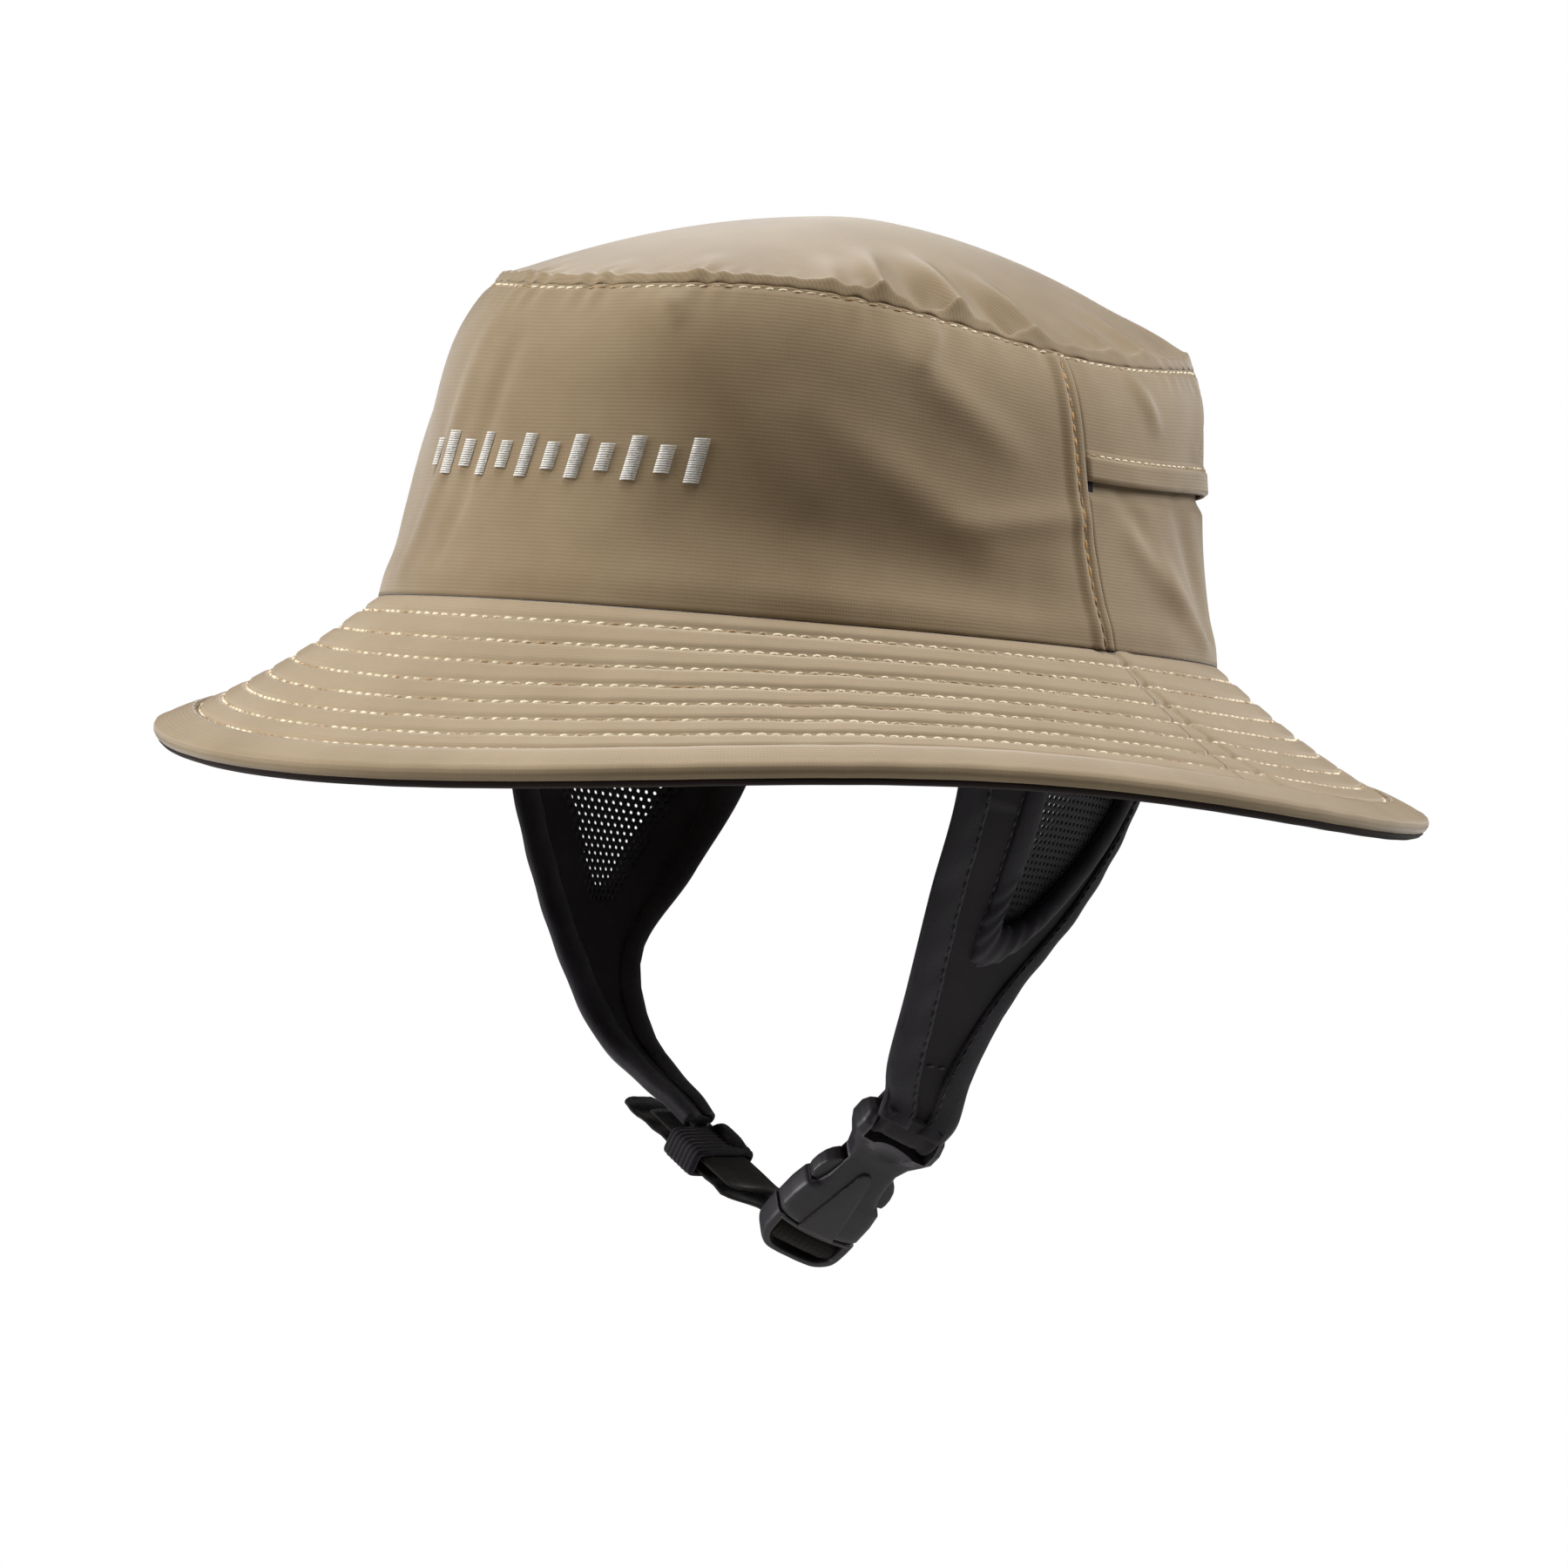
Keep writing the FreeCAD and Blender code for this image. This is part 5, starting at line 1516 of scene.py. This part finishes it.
@dataclass
class SideReleaseBuckle:
    """Socket with a raised drop-shaped panel, plug with an adjuster bar, and two prongs."""

    local: LocalFrame = BUCKLE
    half_width: float = 10.7
    half_tall: float = 4.2
    mouth_bulge: float = 1.3
    window: tuple[float, float] = (10.0, 20.0)
    cavity: tuple[float, float] = (8.2, 2.45)
    slot: tuple[float, float] = (27.6, 30.8)
    slot_half: float = 8.5
    plug_length: float = 11.5
    bar_x: float = -5.6
    bar_radius: float = 1.9

    def loft(self, name: str, stations: Sequence[tuple[float, float, float]],
             bulge: float = 0.0) -> bpy.types.Object:
        """Closed block through rounded sections.

        Args:
            name: the piece's name.
            stations: x, half width and half height of each section.
            bulge: how far the first section's middle stands forward.

        Returns:
            The block's object.
        """
        table = np.array(stations, float)
        fine = np.unique(np.concatenate([np.linspace(a, b, 5)
                                         for a, b in zip(table[:-1, 0], table[1:, 0])]))
        sections = []
        for x in fine:
            wide, tall = (float(np.interp(x, table[:, 0], table[:, i])) for i in (1, 2))
            section = rounded_section(wide, tall)
            fade = max(0.0, 1 - (x - fine[0]) / 5.0)
            forward = bulge * fade * (1 - (section[:, 0] / wide) ** 2)
            sections.append(self.local.at(x - forward, section[:, 0], section[:, 1]))
        return swept_object(name, np.stack(sections), Finish.BUCKLE, closed=False)

    def block(self, low: tuple[float, float, float],
              high: tuple[float, float, float]) -> bpy.types.Object:
        """Plain cutter between two corners in the buckle's frame."""
        points = [self.local.at(x, y, z) for x in (low[0], high[0]) for y in (low[1], high[1])
                  for z in (low[2], high[2])]
        faces = [(0, 1, 3, 2), (4, 6, 7, 5), (0, 4, 5, 1), (2, 3, 7, 6), (0, 2, 6, 4), (1, 5, 7, 3)]
        return mesh_object("cutter", np.array(points), faces, Finish.BUCKLE)

    def rod(self, x: float, z: float, radius: float, half_long: float) -> bpy.types.Object:
        """Round bar across the buckle."""
        angle = np.arange(28) * 2 * math.pi / 28
        sections = [self.local.at(x + radius * np.cos(angle), y, z + radius * np.sin(angle))
                    for y in np.linspace(-half_long, half_long, 5)]
        return swept_object("rod", np.stack(sections), Finish.BUCKLE, closed=False)

    def scoop(self, centre: float, radius: float) -> bpy.types.Object:
        """Cutter that hollows the lip of the slot, as a barrel lying along the buckle."""
        angle = np.arange(64) * 2 * math.pi / 64
        sections = []
        for x, share in ((21.5, 0.86), (24.0, 0.93), (26.0, 0.98), (28.0, 1.0), (37.0, 1.0)):
            sections.append(self.local.at(x, radius * share * np.cos(angle),
                                          centre + radius * share * np.sin(angle)))
        return swept_object("cutter", np.stack(sections), Finish.BUCKLE, closed=False)

    def socket(self) -> bpy.types.Object:
        """Socket with its cavity, side windows, strap slot and scooped lip."""
        wide, tall = self.half_width, self.half_tall
        body = self.loft("socket_shell", (
            (0.15, wide - 0.35, tall - 0.3), (0.7, wide, tall), (5.5, wide - 0.1, tall + 0.05),
            (9.2, wide - 0.7, tall), (10.1, wide - 1.5, tall - 0.1), (10.9, 8.2, tall - 0.15),
            (13.5, 7.2, tall - 0.3), (17.0, 6.7, tall - 0.6), (20.5, 6.6, tall - 0.9),
            (23.5, 7.7, 3.5), (26.0, 9.6, 4.0), (28.0, wide, 4.6), (31.0, wide, 4.7),
            (33.2, wide - 0.3, 3.4), (34.4, wide - 0.9, 2.2), (35.0, wide - 2.2, 1.4)),
            self.mouth_bulge)
        half, high = self.cavity
        edge = self.window
        cutters = [self.block((-3, -half, -high), (edge[1] - 1, half, high)),
                   self.block((edge[0], -wide - 2, -high), (edge[1], wide + 2, high)),
                   self.block((self.slot[0], -self.slot_half, -6),
                              (self.slot[1], self.slot_half, 6)),
                   self.block((self.slot[1] - 0.2, -self.slot_half, 1.7),
                              (37, self.slot_half, 8)),
                   self.block((self.slot[1] - 0.2, -self.slot_half, -8),
                              (37, self.slot_half, -1.7)),
                   self.scoop(11.6, 9.0), self.scoop(-11.6, 9.0)]
        carve(body, cutters)
        return body

    def panel(self, sign: int) -> bpy.types.Object:
        """Raised drop-shaped panel on one face of the socket."""
        apex, reach = 18.6, 4.7
        x = np.concatenate([np.linspace(-0.7, 15.5, 24), 15.5 + 3.1 * np.sin(
            np.linspace(0.1, math.pi / 2, 12))])
        half = np.where(x < 15.5, reach - (reach - 1.9) * ((x + 0.7) / 16.2) ** 1.25,
                        1.9 * np.sqrt(np.clip(1 - ((x - 15.5) / (apex - 15.5)) ** 2, 0, 1)))
        outline = np.concatenate([np.stack([x, half], -1), np.stack([x, -half], -1)[::-1][1:]])
        centre = np.array([8.0, 0.0])
        rings = []
        for inset, rise in ((0.0, -0.3), (0.0, 0.22), (0.10, 0.42), (0.35, 0.52), (1.0, 0.60)):
            way = outline - centre
            size = np.linalg.norm(way, axis=1, keepdims=True)
            spot = centre + way * (1 - inset / size)
            surface = self.half_tall - 0.5 * ease(10, 20, spot[:, 0])
            bow = self.mouth_bulge * np.clip(1 - spot[:, 0] / 5, 0, 1) * (
                1 - (spot[:, 1] / self.half_width) ** 2)
            rings.append(self.local.at(spot[:, 0] - bow * 0.8, spot[:, 1],
                                       sign * (surface + rise)))
        return swept_object("panel", np.stack(rings), Finish.BUCKLE, closed=False)

    def prong(self, hand: int) -> bpy.types.Object:
        """Sprung arm whose bulging head shows in a side window."""
        x = np.array([0.35, 5.0, 9.6, 10.5, 10.9, 12.0, 14.0, 16.0, 17.5, 18.4])
        outer = np.array([7.2, 7.25, 7.4, 7.6, 9.9, 10.15, 10.0, 9.4, 8.4, 7.2])
        inner = np.array([5.5, 5.5, 5.5, 5.5, 5.5, 5.5, 5.5, 5.6, 5.8, 6.2])
        fine = np.unique(np.concatenate([np.linspace(0.35, 10.4, 12), np.linspace(10.4, 11.0, 7),
                                         np.linspace(11.0, 18.4, 24)]))
        sections = []
        for at in fine:
            low, high = np.interp(at, x, inner), np.interp(at, x, outer)
            section = rounded_section((high - low) / 2, 2.15, 7.0, 24)
            sections.append(self.local.at(at, hand * ((high + low) / 2 + section[:, 0]),
                                          section[:, 1]))
        return swept_object("prong", np.stack(sections), Finish.BUCKLE, closed=False)

    def plug(self) -> bpy.types.Object:
        """Frame of the plug with its curved end rail, crossbar, adjuster bar and guide."""
        wide, end = self.half_width, -self.plug_length
        path = smooth_line([np.array(p, float) for p in (
            (-0.6, wide - 1.3, 0), (-4.0, wide - 1.35, 0), (-7.5, wide - 1.9, 0),
            (-9.9, wide - 4.2, 0), (end + 0.75, 3.2, 0), (end + 0.6, 0, 0),
            (end + 0.75, -3.2, 0), (-9.9, 4.2 - wide, 0), (-7.5, 1.9 - wide, 0),
            (-4.0, 1.35 - wide, 0), (-0.6, 1.3 - wide, 0))], 90)
        way = np.gradient(path, axis=0)
        way /= np.linalg.norm(way, axis=1, keepdims=True)
        side = np.stack([-way[:, 1], way[:, 0], np.zeros(len(way))], -1)
        sections = []
        for point, across in zip(path, side):
            rail = abs(point[1]) / wide
            section = rounded_section(0.75 + 0.55 * rail ** 2, 2.7 + 1.4 * rail ** 2, 4.5, 28)
            local = point + across * section[:, :1]
            sections.append(self.local.at(local[:, 0], local[:, 1], section[:, 1]))
        frame_rail = swept_object("rail", np.stack(sections), Finish.BUCKLE, closed=False)
        bar = []
        for y in np.linspace(-wide + 1.2, wide - 1.2, 25):
            section = rounded_section(0.7, 3.9, 5.0, 24)
            bow = self.mouth_bulge * (1 - (y / wide) ** 2)
            bar.append(self.local.at(-0.95 - bow + section[:, 0], y, section[:, 1]))
        crossbar = swept_object("crossbar", np.stack(bar), Finish.BUCKLE, closed=False)
        adjuster = self.rod(self.bar_x, 0, self.bar_radius, wide - 1.6)
        guide = self.block((-1.6, -1.1, -2.0), (13.0, 1.1, 2.0))
        return join_pieces("plug_frame", [frame_rail, crossbar, adjuster, guide])

    def build(self) -> list[bpy.types.Object]:
        """Make the buckle's pieces.

        Returns:
            Socket, plug and the two prongs, each riding on its body.
        """
        socket = join_pieces("socket_body", [self.socket(), self.panel(1), self.panel(-1)])
        socket.data.set_sharp_from_angle(angle=math.radians(48))
        plug = self.plug()
        plug.data.set_sharp_from_angle(angle=math.radians(48))
        front, rear = self.prong(1), self.prong(-1)
        front.name, rear.name = "prong_head_front", "prong_head_rear"
        for piece, node, body in ((socket, "buckle_socket", "chin_strap"),
                                  (plug, "buckle_plug", "right_strap"),
                                  (front, "release_prong_front", "prong_front"),
                                  (rear, "release_prong_rear", "prong_rear")):
            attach(piece, body)
            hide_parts(node)
        return [socket, plug, front, rear]


# ---------------------------------------------------------------- webbing and keeper
@dataclass
class ChinWebbing:
    """Webbing folded round the adjuster bar, the loop in the socket, and the elastic keeper."""

    width: float = 16.0
    thickness: float = 1.2
    ply_offset: float = 1.3
    run_start: float = -14.0
    run_end: float = 14.0
    tail_reach: float = 24.0
    bar_x: float = -5.6
    bar_radius: float = 2.0
    clearance: float = 0.3
    inside: float = 4.5
    keeper_length: float = 10.0
    keeper_wall: float = 1.3

    def bridge(self, start: Array, start_way: Array, end: Array, end_way: Array,
               count: int) -> list[Array]:
        """Points strictly between two ends of a smooth curve with given ways at its ends."""
        pull = float(np.linalg.norm(end - start))
        points = []
        for t in np.linspace(0, 1, count + 2)[1:-1]:
            points.append(start * (2 * t ** 3 - 3 * t ** 2 + 1) + end * (3 * t ** 2 - 2 * t ** 3)
                          + start_way * pull * (t ** 3 - 2 * t ** 2 + t)
                          + end_way * pull * (t ** 3 - t ** 2))
        return points

    def stations(self) -> list[tuple[Array, Array, Array, float]]:
        """Middle, across, normal and width share of the webbing along its whole length."""
        way, side, out = (np.array(v, float) for v in (STRAP.along, STRAP.across, STRAP.out))
        b_way, b_side, b_out = (np.array(v, float) for v in (BUCKLE.along, BUCKLE.across,
                                                             BUCKLE.out))
        wrap = self.bar_radius + self.clearance + self.thickness / 2
        upper, lower = (STRAP.at(self.run_end, 0, z) for z in (self.ply_offset, -self.ply_offset))
        entry = BUCKLE.at(self.bar_x + wrap, 0, -self.inside)
        leaving = BUCKLE.at(self.bar_x - wrap, 0, -self.inside)

        def turned(t: float, first: Array, second: Array) -> Array:
            """Direction part of the way from one to another."""
            mixed = first * (1 - t) + second * t
            return mixed / np.linalg.norm(mixed)

        found = [(STRAP.at(x, 0, self.ply_offset), side, out, 1.0)
                 for x in np.linspace(self.run_start, self.run_end, 20)]
        going = self.bridge(upper, way, entry, b_out, 12)
        for i, point in enumerate(going):
            t = (i + 1) / 13
            found.append((point, turned(t, side, -b_side), turned(t, out, b_way), 1.0))
        found.append((entry, -b_side, b_way, 1.0))
        for angle in np.linspace(0, math.pi, 17):
            normal = b_way * math.cos(angle) + b_out * math.sin(angle)
            found.append((BUCKLE.at(self.bar_x, 0, 0) + normal * wrap, -b_side, normal, 1.0))
        found.append((leaving, -b_side, -b_way, 1.0))
        coming = self.bridge(leaving, -b_out, lower, -way, 12)
        for i, point in enumerate(coming):
            t = (i + 1) / 13
            found.append((point, turned(t, -b_side, side), turned(t, -b_way, -out), 1.0))
        for x in np.concatenate([np.linspace(self.run_end, -self.tail_reach + 6, 24),
                                 -self.tail_reach + 6 * np.cos(np.linspace(0.1, math.pi / 2, 14))]):
            left = x + self.tail_reach
            share = math.sqrt(max(0.02, 1 - max(0.0, 1 - left / 6) ** 2)) * 0.55 + 0.45
            share = share if left < 6 else 1.0
            sag = -0.9 * float(ease(-8, -self.tail_reach, x)) - 0.15 * math.sin(x)
            found.append((STRAP.at(x, 0, -self.ply_offset + sag), side, -out, share))
        return found

    def strap(self) -> bpy.types.Object:
        """The webbing, its edges rounded and its faces slightly wavy."""
        sections = []
        for number, (middle, across, normal, share) in enumerate(self.stations()):
            section = rounded_section(self.width / 2 * share, self.thickness / 2, 4.0, 32)
            wave = 0.05 * np.sin(section[:, 0] * 2.1 + number * 0.6)
            sections.append(middle + across * section[:, :1]
                            + normal * (section[:, 1] + wave)[:, None])
        return swept_object("webbing", np.stack(sections), Finish.WEBBING, closed=False)

    def loop(self) -> bpy.types.Object:
        """The left flap's narrow end, folded through the socket's slot and sewn to itself."""
        profile = [(x, 3.1 - 0.3 * float(ease(34.0, 37.0, x)), 7.9) for x in np.linspace(37, 33, 6)]
        profile += [(31.6 - 2.2 * math.sin(a), 3.1 * math.cos(a), 7.9)
                    for a in np.linspace(0.1, math.pi - 0.2, 19)]
        profile += [(x, -2.9, 7.9) for x in np.linspace(32.4, 41.5, 10)]
        line = np.array(profile)
        way = np.gradient(line[:, :2], axis=0)
        way /= np.linalg.norm(way, axis=1, keepdims=True)
        sections = []
        for (x, z, half), (dx, dz) in zip(line, way):
            section = rounded_section(half, 0.85, 4.0, 48)
            bead = 0.55 * (bell(np.abs(section[:, 0]) - half + 1.1, 0.9)
                           - 0.4 * bell(np.abs(section[:, 0]) - half + 3.2, 0.5))
            thick = section[:, 1] - bead * (section[:, 1] < 0)
            sections.append(BUCKLE.at(x - dz * thick, section[:, 0], z + dx * thick))
        return swept_object("left_end_fold", np.stack(sections), Finish.FLAP, closed=False)

    def keeper(self) -> bpy.types.Object:
        """Ribbed elastic loop with its ends sewn into a small bundle on top."""
        half_y = self.width / 2 + 0.45 + self.keeper_wall / 2
        half_z = self.ply_offset + self.thickness / 2 + 0.45 + self.keeper_wall / 2
        path = rounded_section(half_y, half_z, 7.0, 72)
        way = np.roll(path, -1, axis=0) - np.roll(path, 1, axis=0)
        way /= np.linalg.norm(way, axis=1, keepdims=True)
        out = np.stack([way[:, 1], -way[:, 0]], -1)
        count = 56
        along = np.linspace(-self.keeper_length / 2, self.keeper_length / 2, count)
        sections = []
        for (y, z), (ny, nz) in zip(path, out):
            wave = 0.25 * math.sin(y * 0.8) * (z > 0)
            rib = 0.22 * np.abs(np.sin(along * math.pi / 1.25))
            high = self.keeper_wall / 2 + rib - 0.5 * np.abs(along / along[-1]) ** 8
            top = STRAP.at(along + wave, y + ny * high, z + nz * high)
            low = STRAP.at(along[::-1] + wave, y - ny * self.keeper_wall / 2,
                           z - nz * self.keeper_wall / 2)
            sections.append(np.concatenate([top, low]))
        band = swept_object("band", np.stack(sections), Finish.ELASTIC, closed=True)
        bundle = []
        for t in np.linspace(0, 1, 9):
            section = rounded_section(4.2 - 0.5 * t, 1.5 - 0.7 * abs(2 * t - 1) ** 3, 3.0, 20)
            bundle.append(STRAP.at(section[:, 0] - 0.4, half_y - 2.6 - 4.0 * t,
                                   half_z + 1.1 + section[:, 1]))
        tab = swept_object("tab", np.stack(bundle), Finish.ELASTIC, closed=False)
        return join_pieces("elastic_keeper", [band, tab])

    def build(self) -> list[bpy.types.Object]:
        """Make the webbing, the loop and the keeper.

        Returns:
            The three pieces, each riding on its body.
        """
        strap, loop, keeper = self.strap(), self.loop(), self.keeper()
        for piece, node, body, name in ((strap, "chin_webbing", "right_strap", "webbing"),
                                        (loop, "left_strap_loop", "chin_strap", "webbing"),
                                        (keeper, "keeper_loop", "keeper", "elastic")):
            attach(piece, body)
            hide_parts(node)
        return [strap, loop, keeper]


# ---------------------------------------------------------------- studio
@dataclass
class Studio:
    """Floor, lights and camera."""

    azimuth_deg: float = 40.0
    roll_deg: float = 4.58
    distance: float = 1300.0
    lens: float = 132.35
    aside: float = 4.42
    above: float = 34.1
    floor_z: float = -0.75
    floor_radius: float = 3.4
    floor_glow: float = 0.8        # towards the camera only, so that the floor meets the white
    ambient: float = 0.07
    left_power: float = 24.0
    right_power: float = 24.0
    top_power: float = 19.5

    def build(self) -> None:
        """Place the floor, the lights and the camera."""
        bpy.context.scene.view_settings.view_transform = "Standard"
        self.camera()
        self.floor()
        self.lights()

    def camera(self) -> None:
        """Camera level with the hat, a little rolled, a quarter turn less from the front."""
        a, r = math.radians(self.azimuth_deg), math.radians(self.roll_deg)
        back = Vector((math.sin(a), -math.cos(a), 0))
        right0, up0 = Vector((math.cos(a), math.sin(a), 0)), Vector((0, 0, 1))
        right = right0 * math.cos(r) + up0 * math.sin(r)
        up = up0 * math.cos(r) - right0 * math.sin(r)
        place = (back * self.distance - right * self.aside - up * self.above) * MM
        data = bpy.data.cameras.new("camera")
        data.lens = self.lens
        data.sensor_width = 36.0
        data.clip_end = 20.0
        camera = bpy.data.objects.new("camera", data)
        turn = Matrix((right, up, back)).transposed().to_4x4()
        camera.matrix_world = Matrix.Translation(place) @ turn
        bpy.context.scene.collection.objects.link(camera)
        bpy.context.scene.camera = camera

    def floor(self) -> None:
        """Plain pale floor and world."""
        mesh = bpy.data.meshes.new("floor")
        turns = np.arange(96) * math.pi / 48
        ring = [(self.floor_radius * math.cos(t), self.floor_radius * math.sin(t), self.floor_z)
                for t in turns]
        mesh.from_pydata(ring, [], [tuple(range(96))])
        material, tree, shader = blank_material("pale_studio_floor")
        shader.inputs["Base Color"].default_value = srgb("B9B8B6")
        shader.inputs["Roughness"].default_value = 0.9
        shader.inputs["Specular IOR Level"].default_value = 0.0
        shader.inputs["Emission Color"].default_value = srgb("FFFFFF")
        seen = add_node(tree, "ShaderNodeLightPath").outputs["Is Camera Ray"]
        glow = add_node(tree, "ShaderNodeMapRange",
                        {"To Min": self.ambient, "To Max": self.floor_glow}, {"Value": seen})
        tree.links.new(glow.outputs[0], shader.inputs["Emission Strength"])
        mesh.materials.append(material)
        floor = bpy.data.objects.new("floor", mesh)
        bpy.context.scene.collection.objects.link(floor)
        world = bpy.data.worlds.new("studio")
        world.use_nodes = True
        tree = world.node_tree
        seen = add_node(tree, "ShaderNodeLightPath").outputs["Is Camera Ray"]
        strength = add_node(tree, "ShaderNodeMapRange",
                            {"To Min": self.ambient, "To Max": 1.0}, {"Value": seen})
        ground = tree.nodes["Background"]
        ground.inputs["Color"].default_value = srgb("FFFFFF")
        tree.links.new(strength.outputs[0], ground.inputs["Strength"])
        bpy.context.scene.world = world

    def lights(self) -> None:
        """Large soft lights: one each side of the hat, a little behind it, and one overhead."""
        a = math.radians(self.azimuth_deg)
        back = Vector((math.sin(a), -math.cos(a), 0))
        right = Vector((math.cos(a), math.sin(a), 0))
        up = Vector((0, 0, 1))
        for name, place, power, size in (
                ("left", right * -1.5 + up * 0.55 + back * 0.15, self.left_power, 0.9),
                ("right", right * 1.35 + up * 0.9 - back * 0.35, self.right_power, 0.9),
                ("overhead", up * 1.6 + back * 0.35 - right * 0.2, self.top_power, 1.0)):
            data = bpy.data.lights.new(name, "AREA")
            data.energy = power
            data.size = size
            light = bpy.data.objects.new(name, data)
            light.location = place
            light.rotation_euler = (-place).to_track_quat("-Z", "Y").to_euler()
            bpy.context.scene.collection.objects.link(light)


# ---------------------------------------------------------------- carried-over pieces
@dataclass(frozen=True)
class Carried:
    """A node that stays visible as it is: its finish and the strip that it was cut from."""

    finish: Finish
    flat: tuple[float, float] | None = None     # in metres; none for the foam, which is a pad
    area: float | None = None                   # in square metres
    rests_on: str = "crown_front"


CARRIED: dict[str, Carried] = {
    "back_vent_mesh": Carried(Finish.MESH, (0.232, 0.022), None, "crown_back"),
    "crown_seam_tape": Carried(Finish.TAPE, (0.530, 0.010), 0.0033),
    "side_seam_tapes": Carried(Finish.TAPE, (0.019, 0.025), 0.00045),
    "brim_foam": Carried(Finish.FOAM),
}


def dress_carried() -> None:
    """Give each node that stays visible its finish."""
    for name, carried in CARRIED.items():
        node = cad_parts[name]
        for holder in node.material_slots:
            holder.material = carried.finish.material()
        LOG.info("dressed %s", name)


def flaps() -> list[EarFlap]:
    """Both ear flaps with their own outlines and windows."""
    left = EarFlap(Side.LEFT,
                   ((0.355, 7.9, -3.8), (0.579, 6.6, -5.1), (0.785, 4.6, -4.7), (0.944, 1.6, -2.9)),
                   ((0.327, 1.8, 8.2), (0.540, 5.9, 1.0), (0.743, 5.8, -8.7), (0.903, 2.6, -5.9)),
                   ((0.40, 0.62), (0.34, 0.46), (0.30, 0.30), (0.34, 0.17), (0.58, 0.13),
                    (0.82, 0.20), (0.80, 0.36), (0.72, 0.50), (0.58, 0.61)), 2.0)
    right = EarFlap(Side.RIGHT,
                    ((0.320, -14.0, 5.0), (0.550, -15.0, -0.5), (0.730, -14.5, -3.0),
                     (0.880, -13.5, -1.5)),
                    ((0.320, -12.0, 12.0), (0.550, -16.5, 2.0), (0.730, -18.0, -10.0),
                     (0.880, -15.0, -4.0)),
                    ((0.42, 0.56), (0.33, 0.42), (0.27, 0.28), (0.34, 0.16), (0.58, 0.12),
                     (0.80, 0.18), (0.76, 0.32), (0.66, 0.46), (0.52, 0.56)), 2.4)
    return [left, right]


def main() -> None:
    """Build the hat, piece by piece, and the studio round it."""
    logging.basicConfig(level=logging.INFO, format="%(name)s: %(message)s")
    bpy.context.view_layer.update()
    Studio().build()
    dress_carried()
    for piece in Crown().build():
        LOG.info("crown: %s", piece.name)
    LOG.info("motif: %s", SatinMotif().build().name)
    for piece in Brim().build():
        LOG.info("brim: %s", piece.name)
    for flap in flaps():
        for piece in flap.build():
            LOG.info("flap: %s", piece.name)
    for piece in SideReleaseBuckle().build() + ChinWebbing().build():
        LOG.info("strap: %s", piece.name)


if __name__ == "__main__":
    main()
